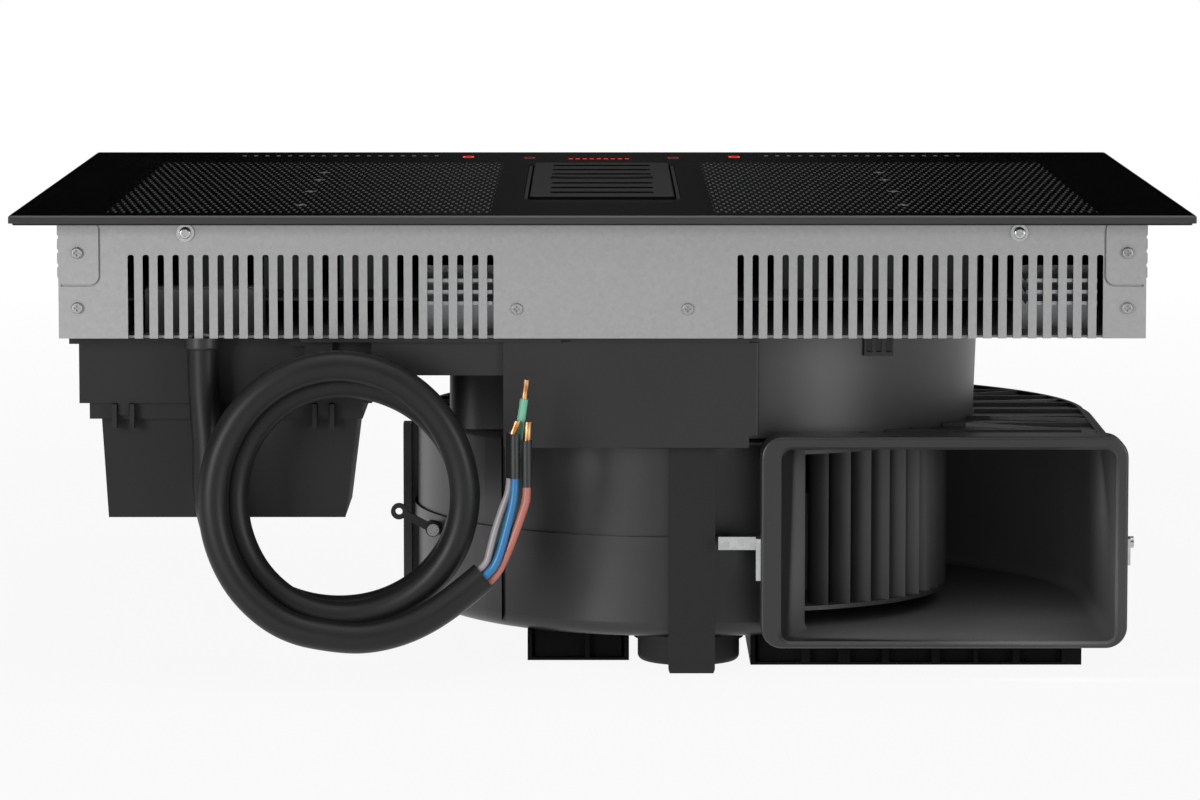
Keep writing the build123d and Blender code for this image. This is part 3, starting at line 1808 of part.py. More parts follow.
def core_ferrules():
    """Crimped copper ends above the sleeves, and the bare tip of the earth core."""
    end = Vector(earth_route[-1])
    way = (end - Vector(earth_route[-2])).normalized()
    return (
        ferrule(grey_route[-1], blue_route[-1], sleeve_grey_blue_top_z, ferrule_grey_blue_tip),
        ferrule(brown_route[-1], black_route[-1], sleeve_brown_black_top_z, ferrule_brown_black_tip),
        extrude(Plane(origin=end, z_dir=way) * Circle(earth_tip_radius), earth_tip_length),
    )


# ---- write every node

save("glass_panel", glass_panel())
save("worktop_seal", worktop_seal())
save("intake_frame", intake_frame())
save("intake_grille", intake_grille())
save("grease_filter", grease_filter())
save("casing_tray", casing_tray())
save("side_panel_left", side_panel(-1))
save("side_panel_right", side_panel(1))
save("casing_screws", *casing_screws())
save("washer_screws", *washer_screws())
save("casing_rivets", *casing_rivets())
save("coil_carrier_left", coil_carrier(-1))
save("coil_carrier_right", coil_carrier(1))
save("induction_coil_left_near", induction_coil(-zone_x, zone_near_y))
save("induction_coil_left_far", induction_coil(-zone_x, zone_far_y))
save("induction_coil_right_near", induction_coil(zone_x, zone_near_y))
save("induction_coil_right_far", induction_coil(zone_x, zone_far_y))
save("ferrite_bars", *ferrite_bars())
save("power_board_left", power_board(-1))
save("power_board_right", power_board(1))
save("heat_sink_left", heat_sink(heat_sink_left_x))
save("heat_sink_right", heat_sink(heat_sink_right_x))
save("terminal_block", terminal_block())
save("fan_frame_left", fan_frame(-1))
save("fan_frame_right", fan_frame(1))
save("fan_rotor_left", fan_rotor(-1))
save("fan_rotor_right", fan_rotor(1))
save("touch_board", touch_board())
save("display_modules", *display_modules())
save("duct_plate", duct_plate())
save("central_duct", central_duct())
save("cross_duct", cross_duct())
save("control_box", control_box())
save("inlet_drum", inlet_drum())
save("drum_connector", drum_connector())
save("blower_upper_shell", blower_shell(True))
save("blower_lower_shell", blower_shell(False))
save("seam_screws", *seam_screws())
save("seam_clips", *seam_clips())
save("blower_wheel", blower_wheel())
save("motor_shaft", motor_shaft())
save("blower_motor", blower_motor())
save("motor_screws", *motor_screw_heads())
save("hanger_strap", hanger_strap())
save("rubber_damper", rubber_damper())
save("foot_frame_left", foot_frame(foot_left_x, foot_left_right_x, foot_left_near_y, foot_far_y, left_ribs))
save("foot_frame_right", foot_frame(foot_right_left_x, foot_right_x, foot_near_y, foot_far_y, right_ribs))
save("tray_holder", tray_holder())
save("drip_tray", drip_tray())
save("cable_gland", cable_gland())
save("mains_cable_drop", tube(drop_route(), cable_radius, "drop"))
save("mains_cable_coil", mains_cable_coil())
save("mains_cable_tail", tube((coil_points()[-1][0],) + tail_route, cable_radius, "tail"))
save("core_blue", core(0, blue_route, "blue core"))
save("core_brown", core(1, brown_route, "brown core"))
save("core_black", core(2, black_route, "black core"))
save("core_earth", core(3, earth_route, "earth core"))
save("core_grey", core(4, grey_route, "grey core"))
save("core_sleeves", *core_sleeves())
save("core_ferrules", *core_ferrules())
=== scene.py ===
from math import cos, pi, sin

import bmesh
import bpy
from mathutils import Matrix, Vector


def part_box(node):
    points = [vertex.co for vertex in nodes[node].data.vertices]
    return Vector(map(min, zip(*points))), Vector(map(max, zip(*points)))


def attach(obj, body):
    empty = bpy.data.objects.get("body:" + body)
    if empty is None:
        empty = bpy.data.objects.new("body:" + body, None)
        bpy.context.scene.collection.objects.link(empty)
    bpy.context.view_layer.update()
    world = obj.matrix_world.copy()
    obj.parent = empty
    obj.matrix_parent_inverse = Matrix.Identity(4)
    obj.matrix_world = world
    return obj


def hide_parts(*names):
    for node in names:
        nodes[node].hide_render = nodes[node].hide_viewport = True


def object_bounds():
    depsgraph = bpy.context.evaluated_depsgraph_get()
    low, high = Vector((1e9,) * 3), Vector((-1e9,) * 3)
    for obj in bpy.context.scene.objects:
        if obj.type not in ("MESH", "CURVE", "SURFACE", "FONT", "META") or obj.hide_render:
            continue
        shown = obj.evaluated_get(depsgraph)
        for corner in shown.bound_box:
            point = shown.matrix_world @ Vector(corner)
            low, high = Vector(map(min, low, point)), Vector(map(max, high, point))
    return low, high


# Downdraft induction cooktop seen from its wall side. Metres, same frame as the solids.
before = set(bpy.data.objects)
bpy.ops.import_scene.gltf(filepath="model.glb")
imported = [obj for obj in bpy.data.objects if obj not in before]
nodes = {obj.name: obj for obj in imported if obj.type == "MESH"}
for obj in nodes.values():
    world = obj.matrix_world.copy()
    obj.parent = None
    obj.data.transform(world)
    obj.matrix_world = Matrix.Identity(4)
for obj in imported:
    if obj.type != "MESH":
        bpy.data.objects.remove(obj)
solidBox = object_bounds()
print("frame loaded with", len(nodes), "nodes")


# camera, at the place the photograph was taken from
cameraView = {
    "place": (-0.0038, -3.1132, 0.21349),
    "pitchDown": 0.1054,  # radians
    "yawRight": 0.0009,
    "lens": 170.17,  # mm
    "sensor": 36,  # mm
    "clipEnd": 100,
}


def makeCamera(view):
    data = bpy.data.cameras.new("wallSideCamera")
    data.lens = view["lens"]
    data.sensor_width = view["sensor"]
    data.clip_end = view["clipEnd"]
    camera = bpy.data.objects.new("wallSideCamera", data)
    camera.location = view["place"]
    camera.rotation_euler = (pi / 2 - view["pitchDown"], 0, -view["yawRight"])
    bpy.context.collection.objects.link(camera)
    bpy.context.scene.camera = camera


makeCamera(cameraView)
print("camera placed")


# small helpers for colours, nodes and meshes
def toLinear(hexColour):
    channels = [int(hexColour[start:start + 2], 16) / 255 for start in (1, 3, 5)]
    linear = [c / 12.92 if c <= 0.04045 else ((c + 0.055) / 1.055) ** 2.4 for c in channels]
    return (*linear, 1.0)


def addNode(tree, kind, values=None, links=None, **settings):
    node = tree.nodes.new(kind)
    for name, value in settings.items():
        setattr(node, name, value)
    for name, value in (values or {}).items():
        node.inputs[name].default_value = value
    for name, socket in (links or {}).items():
        tree.links.new(socket, node.inputs[name])
    return node


def newMaterial(name, values):
    material = bpy.data.materials.new(name)
    material.use_nodes = True
    tree = material.node_tree
    tree.nodes.clear()
    shader = addNode(tree, "ShaderNodeBsdfPrincipled", values)
    addNode(tree, "ShaderNodeOutputMaterial", links={"Surface": shader.outputs["BSDF"]})
    return material, tree, shader


def twoTones(tree, factor, low, high):
    ramp = addNode(tree, "ShaderNodeValToRGB", links={"Fac": factor})
    ramp.color_ramp.elements[0].color = toLinear(low)
    ramp.color_ramp.elements[1].color = toLinear(high)
    return ramp


def perMetre(millimetres):
    return 1000 / millimetres  # texture scale for a feature of this size


# how far the roughness swings either side of a material's own value, and how deep its relief is in metres
surfaceSwing = {
    "plastic": (-0.05, 0.07),
    "sheet": (-0.06, 0.06),
    "coat": (-0.04, 0.08),
    "sheath": (-0.05, 0.08),
}
surfaceRelief = {
    "plastic": 0.0001,
    "sheet": 0.00005,
    "coat": 0.00008,
    "sheath": 0.00008,
    "copper": 0.0002,
}
plasticIor = 1.5


# moulded plastics: fine spark-eroded grain, slightly uneven gloss, faint flow mottling
def mouldedPlastic(name, look):
    material, tree, shader = newMaterial(name, {"IOR": plasticIor, "Specular IOR Level": look["gloss"]})
    low, high = surfaceSwing["plastic"]
    place = addNode(tree, "ShaderNodeTexCoord")
    mottle = addNode(tree, "ShaderNodeTexNoise",
                     {"Scale": perMetre(look["mottleMm"]), "Detail": 3.0},
                     {"Vector": place.outputs["Object"]})
    tones = twoTones(tree, mottle.outputs["Fac"], look["dark"], look["light"])
    tree.links.new(tones.outputs["Color"], shader.inputs["Base Color"])
    sheen = addNode(tree, "ShaderNodeMapRange",
                    {"To Min": look["roughness"] + low, "To Max": look["roughness"] + high},
                    {"Value": mottle.outputs["Fac"]})
    tree.links.new(sheen.outputs["Result"], shader.inputs["Roughness"])
    grain = addNode(tree, "ShaderNodeTexNoise",
                    {"Scale": perMetre(look["grainMm"]), "Detail": 2.0}, {"Vector": place.outputs["Object"]})
    bump = addNode(tree, "ShaderNodeBump",
                   {"Strength": look["grainStrength"], "Distance": surfaceRelief["plastic"]},
                   {"Height": grain.outputs["Fac"]})
    tree.links.new(bump.outputs["Normal"], shader.inputs["Normal"])
    return material


# glass-filled polypropylene of the ducts: dull, with a soft broad highlight
ductPolypropylene = mouldedPlastic("ductPolypropyleneMoulded", {
    "dark": "#1f1f1f", "light": "#272727", "gloss": 0.42, "roughness": 0.46,
    "mottleMm": 60, "grainMm": 0.9, "grainStrength": 0.25,
})
# the feet under the blower are the same stock with a dull face, its colour darkened as painted shade from the
# blower above them
shadedFootPolypropylene = mouldedPlastic("shadedFootPolypropyleneMoulded", {
    "dark": "#0b0b0b", "light": "#101010", "gloss": 0.08, "roughness": 0.6,
    "mottleMm": 40, "grainMm": 1.0, "grainStrength": 0.3,
})
# the blower's shells are the same stock from a smoother mould, so they shine a little more
shellPolypropylene = mouldedPlastic("shellPolypropyleneMoulded", {
    "dark": "#212121", "light": "#2a2a2a", "gloss": 0.55, "roughness": 0.36,
    "mottleMm": 75, "grainMm": 0.8, "grainStrength": 0.2,
})
# the drum over the wheel comes from a polished mould, so it carries a broad pale highlight
drumPolypropylene = mouldedPlastic("drumPolypropyleneMoulded", {
    "dark": "#272727", "light": "#303030", "gloss": 0.75, "roughness": 0.42,
    "mottleMm": 75, "grainMm": 0.8, "grainStrength": 0.15,
})
# the drip tray and its holder: a flat black with hardly any shine, its colour darkened a little as painted
# shade from the casing above
shadedTrayPolypropylene = mouldedPlastic("shadedTrayPolypropyleneMoulded", {
    "dark": "#1c1c1c", "light": "#242424", "gloss": 0.3, "roughness": 0.5,
    "mottleMm": 45, "grainMm": 1.0, "grainStrength": 0.3,
})
# the blower wheel: black polyamide, its colour darkened further as painted shade for the dark inside of the
# blower, so that its blades read as thin lines in the outlet
shadedWheelPolyamide = mouldedPlastic("shadedWheelPolyamideMoulded", {
    "dark": "#0c0c0c", "light": "#131313", "gloss": 0.35, "roughness": 0.4,
    "mottleMm": 30, "grainMm": 0.7, "grainStrength": 0.15,
})
# small fans, plug and gland: plain black with a slight shine
fanPolyester = mouldedPlastic("fanPolyesterMoulded", {
    "dark": "#18191a", "light": "#202122", "gloss": 0.5, "roughness": 0.4,
    "mottleMm": 20, "grainMm": 0.6, "grainStrength": 0.2,
})
# the terminal block: dark grey, dull
terminalPolyamide = mouldedPlastic("terminalPolyamideMoulded", {
    "dark": "#2a2a2a", "light": "#343434", "gloss": 0.4, "roughness": 0.5,
    "mottleMm": 15, "grainMm": 0.6, "grainStrength": 0.15,
})
# rubber foot under the scroll: matt and coarse against the smooth shells
dampingRubber = mouldedPlastic("nitrileRubberPressed", {
    "dark": "#141414", "light": "#1c1c1c", "gloss": 0.35, "roughness": 0.68,
    "mottleMm": 12, "grainMm": 1.2, "grainStrength": 0.45,
})
# foam seal under the glass: open, powdery grey
sealFoam = mouldedPlastic("polyethyleneFoamDieCut", {
    "dark": "#2c2c2c", "light": "#3a3a3a", "gloss": 0.2, "roughness": 0.85,
    "mottleMm": 4, "grainMm": 0.8, "grainStrength": 0.8,
})
# ferrite bars: pressed and fired, slightly blue
ferriteBlack = mouldedPlastic("ferriteSintered", {
    "dark": "#232326", "light": "#2f2f33", "gloss": 0.4, "roughness": 0.6,
    "mottleMm": 8, "grainMm": 0.5, "grainStrength": 0.4,
})
# circuit boards with black solder mask, seen as dark planes through the slots
boardLaminate = mouldedPlastic("circuitBoardLaminate", {
    "dark": "#1a1b1b", "light": "#232424", "gloss": 0.3, "roughness": 0.5,
    "mottleMm": 10, "grainMm": 2.0, "grainStrength": 0.1,
})
# display windows: deep red, smooth
displayWindow = mouldedPlastic("displayPolycarbonateMoulded", {
    "dark": "#3a0707", "light": "#4a0b0b", "gloss": 0.6, "roughness": 0.2,
    "mottleMm": 10, "grainMm": 1.0, "grainStrength": 0.05,
})
print("moulded materials made")


# sheet and bar metals: rolling lines along one axis, and the blotches of the finish
def sheetMetal(name, look):
    material, tree, shader = newMaterial(name, {"Metallic": 1.0})
    low, high = surfaceSwing["sheet"]
    place = addNode(tree, "ShaderNodeTexCoord")
    stretch = addNode(tree, "ShaderNodeMapping", links={"Vector": place.outputs["Object"]})
    stretch.inputs["Scale"].default_value = look["stretch"]
    lines = addNode(tree, "ShaderNodeTexNoise", {"Scale": perMetre(look["lineMm"]), "Detail": 3.0},
                    {"Vector": stretch.outputs["Vector"]})
    spangle = addNode(tree, "ShaderNodeTexVoronoi", {"Scale": perMetre(look["spangleMm"])},
                      {"Vector": place.outputs["Object"]})
    tones = twoTones(tree, spangle.outputs["Color"], look["dark"], look["light"])
    tree.links.new(tones.outputs["Color"], shader.inputs["Base Color"])
    sheen = addNode(tree, "ShaderNodeMapRange",
                    {"To Min": look["roughness"] + low, "To Max": look["roughness"] + high},
                    {"Value": lines.outputs["Fac"]})
    tree.links.new(sheen.outputs["Result"], shader.inputs["Roughness"])
    bump = addNode(tree, "ShaderNodeBump",
                   {"Strength": look["lineStrength"], "Distance": surfaceRelief["sheet"]},
                   {"Height": lines.outputs["Fac"]})
    tree.links.new(bump.outputs["Normal"], shader.inputs["Normal"])
    return material


# hot-dip galvanised sheet of the casing: pale grey, dull, with a fine even spangle
galvanisedSheet = sheetMetal("galvanisedSteelSheet", {
    "dark": "#a0a0a0", "light": "#a6a6a6", "roughness": 0.6, "stretch": (1, 1, 1),
    "lineMm": 1.6, "spangleMm": 2.2, "lineStrength": 0.1,
})
# bright turned screws and clips, the palest metal on the object
zincPlate = sheetMetal("zincPlatedSteelTurned", {
    "dark": "#b3b4b5", "light": "#c6c7c7", "roughness": 0.28, "stretch": (1, 1, 1),
    "lineMm": 0.8, "spangleMm": 3.0, "lineStrength": 0.1,
})
# the casing's small screws and rivets: the same zinc, weathered to the sheet's own tone
dullZincPlate = sheetMetal("zincPlatedSteelDulled", {
    "dark": "#9c9c9c", "light": "#a8a8a8", "roughness": 0.5, "stretch": (1, 1, 1),
    "lineMm": 0.8, "spangleMm": 3.0, "lineStrength": 0.1,
})
# extruded fins: fine lines along the length
finAluminium = sheetMetal("aluminiumExtruded", {
    "dark": "#a9abad", "light": "#b8babc", "roughness": 0.32, "stretch": (0.05, 1, 1),
    "lineMm": 0.5, "spangleMm": 20, "lineStrength": 0.3,
})
# filter basket: pale, brushed
filterSteel = sheetMetal("stainlessSteelPerforated", {
    "dark": "#9a9b9c", "light": "#a8a9aa", "roughness": 0.3, "stretch": (1, 0.05, 1),
    "lineMm": 0.4, "spangleMm": 20, "lineStrength": 0.3,
})
# motor can: drawn steel, darker, lines running up
motorSteel = sheetMetal("motorSteelDrawn", {
    "dark": "#5b5c5e", "light": "#66676a", "roughness": 0.4, "stretch": (1, 1, 0.05),
    "lineMm": 0.6, "spangleMm": 15, "lineStrength": 0.3,
})
print("metals made")


# powder coat: metal under a dull black film with a fine orange peel
def powderCoat(name, look):
    material, tree, shader = newMaterial(name, {"IOR": plasticIor, "Specular IOR Level": look["gloss"]})
    low, high = surfaceSwing["coat"]
    place = addNode(tree, "ShaderNodeTexCoord")
    peel = addNode(tree, "ShaderNodeTexNoise", {"Scale": perMetre(look["peelMm"]), "Detail": 2.0},
                   {"Vector": place.outputs["Object"]})
    tones = twoTones(tree, peel.outputs["Fac"], look["dark"], look["light"])
    tree.links.new(tones.outputs["Color"], shader.inputs["Base Color"])
    sheen = addNode(tree, "ShaderNodeMapRange",
                    {"To Min": look["roughness"] + low, "To Max": look["roughness"] + high},
                    {"Value": peel.outputs["Fac"]})
    tree.links.new(sheen.outputs["Result"], shader.inputs["Roughness"])
    bump = addNode(tree, "ShaderNodeBump",
                   {"Strength": look["peelStrength"], "Distance": surfaceRelief["coat"]},
                   {"Height": peel.outputs["Fac"]})
    tree.links.new(bump.outputs["Normal"], shader.inputs["Normal"])
    return material


# the lift-out grille and its frame: a matt black beside the shiny glass
grilleCoat = powderCoat("powderCoatedGrille", {
    "dark": "#1b1b1b", "light": "#222222", "gloss": 0.15, "roughness": 0.45,
    "peelMm": 1.4, "peelStrength": 0.3,
})
# the strap under the scroll: the same film, a little shinier
strapCoat = powderCoat("powderCoatedStrap", {
    "dark": "#1c1c1c", "light": "#232323", "gloss": 0.28, "roughness": 0.45,
    "peelMm": 1.6, "peelStrength": 0.3,
})
print("coated metals made")


# glass ceramic: black through and through, printed on top with pale marks, ground along its edge
glassPrint = {
    "zoneX": (0.057, 0.252),  # from the middle, on both sides
    "zoneY": (-0.239, 0.160),
    "pitch": (0.0042, 0.0290),  # coarser along Y than the real print, so that it shows
    "mark": (0.0013, 0.0080),
    "halfSize": (0.3, 0.26),
    "groundEdge": 0.0009,
    "groundRoughness": 0.45,
    "haze": (0.08, 0.16),  # roughness of the polished face
    "hazeMm": 40,
    "gloss": 0.35,
    "ior": 1.5,
    "glass": "#070708",
    "print": "#a8aaac",
    "edge": "#686868",
}


def ceramicGlass(look):
    material, tree, shader = newMaterial("glassCeramicPolished", {
        "IOR": look["ior"], "Specular IOR Level": look["gloss"]})
    place = addNode(tree, "ShaderNodeTexCoord")
    axes = addNode(tree, "ShaderNodeSeparateXYZ", links={"Vector": place.outputs["Object"]})

    def maths(operation, first, second):
        node = addNode(tree, "ShaderNodeMath", operation=operation)
        for socket, value in zip(node.inputs, (first, second)):
            if isinstance(value, (int, float)):
                socket.default_value = value
            else:
                tree.links.new(value, socket)
        return node.outputs["Value"]

    x = maths("ABSOLUTE", axes.outputs["X"], 0)
    y = axes.outputs["Y"]
    lowX, highX = look["zoneX"]
    lowY, highY = look["zoneY"]
    inX = maths("MULTIPLY", maths("GREATER_THAN", x, lowX), maths("LESS_THAN", x, highX))
    inY = maths("MULTIPLY", maths("GREATER_THAN", y, lowY), maths("LESS_THAN", y, highY))
    pitchX, pitchY = look["pitch"]
    markX, markY = look["mark"]
    columns = maths("PINGPONG", x, pitchX / 2)
    rows = maths("PINGPONG", y, pitchY / 2)
    first = maths("MULTIPLY", maths("LESS_THAN", columns, markX / 2),
                  maths("LESS_THAN", rows, markY / 2))
    second = maths("MULTIPLY", maths("GREATER_THAN", columns, (pitchX - markX) / 2),
                   maths("GREATER_THAN", rows, (pitchY - markY) / 2))
    marks = maths("MULTIPLY", maths("ADD", first, second), maths("MULTIPLY", inX, inY))
    halfWidth, halfDepth = look["halfSize"]
    sides = maths("GREATER_THAN", x, halfWidth - look["groundEdge"])
    ends = maths("GREATER_THAN", maths("ABSOLUTE", y, 0), halfDepth - look["groundEdge"])
    ground = maths("MAXIMUM", sides, ends)
    wear = addNode(tree, "ShaderNodeTexNoise", {"Scale": perMetre(look["hazeMm"]), "Detail": 4.0},
                   {"Vector": place.outputs["Object"]})
    printed = addNode(tree, "ShaderNodeMix", data_type="RGBA")
    printed.inputs["A"].default_value = toLinear(look["glass"])
    printed.inputs["B"].default_value = toLinear(look["print"])
    tree.links.new(marks, printed.inputs["Factor"])
    edged = addNode(tree, "ShaderNodeMix", data_type="RGBA")
    edged.inputs["B"].default_value = toLinear(look["edge"])
    tree.links.new(printed.outputs["Result"], edged.inputs["A"])
    tree.links.new(ground, edged.inputs["Factor"])
    tree.links.new(edged.outputs["Result"], shader.inputs["Base Color"])
    clear, dull = look["haze"]
    haze = addNode(tree, "ShaderNodeMapRange", {"To Min": clear, "To Max": dull},
                   {"Value": wear.outputs["Fac"]})
    rough = maths("MAXIMUM", maths("MULTIPLY", ground, look["groundRoughness"]), haze.outputs["Result"])
    tree.links.new(rough, shader.inputs["Roughness"])
    return material


glassCeramic = ceramicGlass(glassPrint)
print("glass made")


pvc = {
    "ior": 1.52,
    "skinMm": 0.9,
    "skinStrength": 0.2,
}


# lead sheath: soft black PVC, extruded, so its faint lines run along the lead
def extrudedPvc(name, look):
    material, tree, shader = newMaterial(name, {"IOR": pvc["ior"], "Specular IOR Level": look["gloss"]})
    low, high = surfaceSwing["sheath"]
    place = addNode(tree, "ShaderNodeTexCoord")
    bloom = addNode(tree, "ShaderNodeTexNoise", {"Scale": perMetre(look["bloomMm"]), "Detail": 4.0},
                    {"Vector": place.outputs["Object"]})
    tones = twoTones(tree, bloom.outputs["Fac"], look["dark"], look["light"])
    tree.links.new(tones.outputs["Color"], shader.inputs["Base Color"])
    sheen = addNode(tree, "ShaderNodeMapRange",
                    {"To Min": look["roughness"] + low, "To Max": look["roughness"] + high},
                    {"Value": bloom.outputs["Fac"]})
    tree.links.new(sheen.outputs["Result"], shader.inputs["Roughness"])
    skin = addNode(tree, "ShaderNodeTexNoise", {"Scale": perMetre(pvc["skinMm"]), "Detail": 2.0},
                   {"Vector": place.outputs["Object"]})
    bump = addNode(tree, "ShaderNodeBump",
                   {"Strength": pvc["skinStrength"], "Distance": surfaceRelief["sheath"]},
                   {"Height": skin.outputs["Fac"]})
    tree.links.new(bump.outputs["Normal"], shader.inputs["Normal"])
    return material


sheathPvc = extrudedPvc("sheathPvcExtruded", {
    "dark": "#171717", "light": "#1f1f1f", "gloss": 0.27, "roughness": 0.42, "bloomMm": 30,
})
sleevePolyolefin = extrudedPvc("sleevePolyolefinShrunk", {
    "dark": "#1a1a1b", "light": "#242425", "gloss": 0.5, "roughness": 0.4, "bloomMm": 6,
})
corePvc = {
    "core_blue": extrudedPvc("bluePvcExtruded", {
        "dark": "#2876ae", "light": "#3284bd", "gloss": 0.5, "roughness": 0.32, "bloomMm": 10}),
    "core_brown": extrudedPvc("brownPvcExtruded", {
        "dark": "#b96e60", "light": "#c67e70", "gloss": 0.5, "roughness": 0.32, "bloomMm": 10}),
    "core_black": extrudedPvc("blackPvcExtruded", {
        "dark": "#19191a", "light": "#222223", "gloss": 0.5, "roughness": 0.32, "bloomMm": 10}),
    "core_grey": extrudedPvc("greyPvcExtruded", {
        "dark": "#9a9598", "light": "#a6a1a4", "gloss": 0.5, "roughness": 0.32, "bloomMm": 10}),
    "core_earth": extrudedPvc("greenPvcExtruded", {
        "dark": "#6fbf9f", "light": "#86ccb0", "gloss": 0.5, "roughness": 0.32, "bloomMm": 10}),
}


copperRoughness = 0.34
waveBands = 20  # the wave texture repeats this often in one of its units


# stranded copper: warm, bright, with the twist of its strands
def strandedCopper(name, look):
    material, tree, shader = newMaterial(name, {"Metallic": 1.0, "Roughness": copperRoughness})
    place = addNode(tree, "ShaderNodeTexCoord")
    strands = addNode(tree, "ShaderNodeTexWave",
                      {"Scale": perMetre(look["strandMm"]) / waveBands, "Distortion": 1.5},
                      {"Vector": place.outputs["Object"]}, bands_direction="DIAGONAL")
    tones = twoTones(tree, strands.outputs["Fac"], look["dark"], look["light"])
    tree.links.new(tones.outputs["Color"], shader.inputs["Base Color"])
    bump = addNode(tree, "ShaderNodeBump",
                   {"Strength": look["reliefStrength"], "Distance": surfaceRelief["copper"]},
                   {"Height": strands.outputs["Fac"]})
    tree.links.new(bump.outputs["Normal"], shader.inputs["Normal"])
    return material


bareCopper = strandedCopper("copperStranded", {
    "strandMm": 0.8, "dark": "#a8764a", "light": "#d6ab7c", "reliefStrength": 0.5,
})
# enamelled winding wire of the induction coils: redder and darker than the bare ends
windingCopper = strandedCopper("copperEnamelled", {
    "strandMm": 2.0, "dark": "#8a4a26", "light": "#b06a3a", "reliefStrength": 0.5,
})
print("lead materials made")


# dress every solid in its material
finishes = {
    "glass_panel": glassCeramic,
    "worktop_seal": sealFoam,
    "intake_frame": grilleCoat,
    "intake_grille": grilleCoat,
    "grease_filter": filterSteel,
    "casing_tray": galvanisedSheet,
    "side_panel_left": galvanisedSheet,
    "side_panel_right": galvanisedSheet,
    "casing_screws": dullZincPlate,
    "washer_screws": zincPlate,
    "casing_rivets": dullZincPlate,
    "coil_carrier_left": finAluminium,
    "coil_carrier_right": finAluminium,
    "induction_coil_left_near": windingCopper,
    "induction_coil_left_far": windingCopper,
    "induction_coil_right_near": windingCopper,
    "induction_coil_right_far": windingCopper,
    "ferrite_bars": ferriteBlack,
    "power_board_left": boardLaminate,
    "power_board_right": boardLaminate,
    "touch_board": boardLaminate,
    "heat_sink_left": finAluminium,
    "heat_sink_right": finAluminium,
    "terminal_block": terminalPolyamide,
    "fan_frame_left": fanPolyester,
    "fan_frame_right": fanPolyester,
    "fan_rotor_left": fanPolyester,
    "fan_rotor_right": fanPolyester,
    "display_modules": displayWindow,
    "duct_plate": ductPolypropylene,
    "central_duct": ductPolypropylene,
    "cross_duct": ductPolypropylene,
    "control_box": ductPolypropylene,
    "inlet_drum": drumPolypropylene,
    "drum_connector": fanPolyester,
    "blower_upper_shell": shellPolypropylene,
    "blower_lower_shell": shellPolypropylene,
    "seam_screws": zincPlate,
    "seam_clips": zincPlate,
    "blower_wheel": shadedWheelPolyamide,
    "motor_shaft": zincPlate,
    "blower_motor": motorSteel,
    "motor_screws": zincPlate,
    "hanger_strap": strapCoat,
    "rubber_damper": dampingRubber,
    "foot_frame_left": shadedFootPolypropylene,
    "foot_frame_right": shadedFootPolypropylene,
    "tray_holder": shadedTrayPolypropylene,
    "drip_tray": shadedTrayPolypropylene,
    "cable_gland": fanPolyester,
    "core_sleeves": sleevePolyolefin,
    "core_ferrules": bareCopper,
}


def dress(piece, material):
    piece.data.materials.clear()
    piece.data.materials.append(material)


for nodeName, finish in finishes.items():
    dress(nodes[nodeName], finish)
print("solids dressed:", len(finishes))


# mains lead: drop, two and a quarter turns of coil, and the free end, as one smooth line
mainsLead = {
    "diameter": 0.0156,
    "length": 1.037,
    "exit": (-0.2040, -0.2324, -0.0650),
    "drop": ((-0.2040, -0.2324, -0.0650), (-0.2040, -0.2324, -0.0880), (-0.2012, -0.2343, -0.1160)),
    "coilMiddle": (-0.134, -0.139),  # X and Z
    # quarter points of the coil: how far out, and how far toward the wall side
    "quarters": (
        (0.0670, -0.2346),  # left, first pass
        (0.0600, -0.2363),  # bottom
        (0.0640, -0.2383),  # right
        (0.0575, -0.2420),  # top
        (0.0536, -0.2476),  # left, second pass
        (0.0610, -0.2534),  # bottom
        (0.0640, -0.2560),  # right
        (0.0680, -0.2580),  # top
        (0.0629, -0.2632),  # left, third pass
        (0.0698, -0.2686),  # bottom
    ),
    "stepsPerQuarter": 4,
    "tail": ((-0.1160, -0.2686, -0.2088), (-0.0955, -0.2678, -0.2029),
             (-0.0755, -0.2659, -0.1906), (-0.0600, -0.2642, -0.1776)),
}


def coilPoints(lead):
    # a quadratic line cuts inside its points, so they stand a little further out than the lead runs
    steps = lead["stepsPerQuarter"]
    spread = 1 / (0.75 + 0.25 * cos(pi / 2 / steps))
    middleX, middleZ = lead["coilMiddle"]
    points = []
    for quarter in range(len(lead["quarters"]) - 1):
        startOut, startY = lead["quarters"][quarter]
        endOut, endY = lead["quarters"][quarter + 1]
        for step in range(steps):
            share = step / steps
            ease = share * share * (3 - 2 * share)
            out = (startOut + (endOut - startOut) * ease) * spread
            angle = pi + (quarter + share) * pi / 2
            y = startY + (endY - startY) * share
            points.append((middleX + out * cos(angle), y, middleZ + out * sin(angle)))
    lastOut, lastY = lead["quarters"][-1]
    points.append((middleX, lastY, middleZ - lastOut))
    return points


def cordLine(name, points, diameter, material):
    curve = bpy.data.curves.new(name, "CURVE")
    curve.dimensions = "3D"
    curve.bevel_depth = diameter / 2
    curve.bevel_resolution = 6
    curve.resolution_u = 10
    curve.use_fill_caps = True
    spline = curve.splines.new("NURBS")
    spline.points.add(len(points) - 1)
    for point, place in zip(spline.points, points):
        point.co = (*place, 1.0)
    spline.order_u = 3
    spline.use_endpoint_u = True
    cord = bpy.data.objects.new(name, curve)
    bpy.context.collection.objects.link(cord)
    curve.materials.append(material)
    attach(cord, "root")
    return cord


leadPoints = list(mainsLead["drop"]) + coilPoints(mainsLead) + list(mainsLead["tail"])
leadCord = cordLine("mainsLead", leadPoints, mainsLead["diameter"], sheathPvc)
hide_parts("mains_cable_drop", "mains_cable_coil", "mains_cable_tail")
print("mains lead laid")


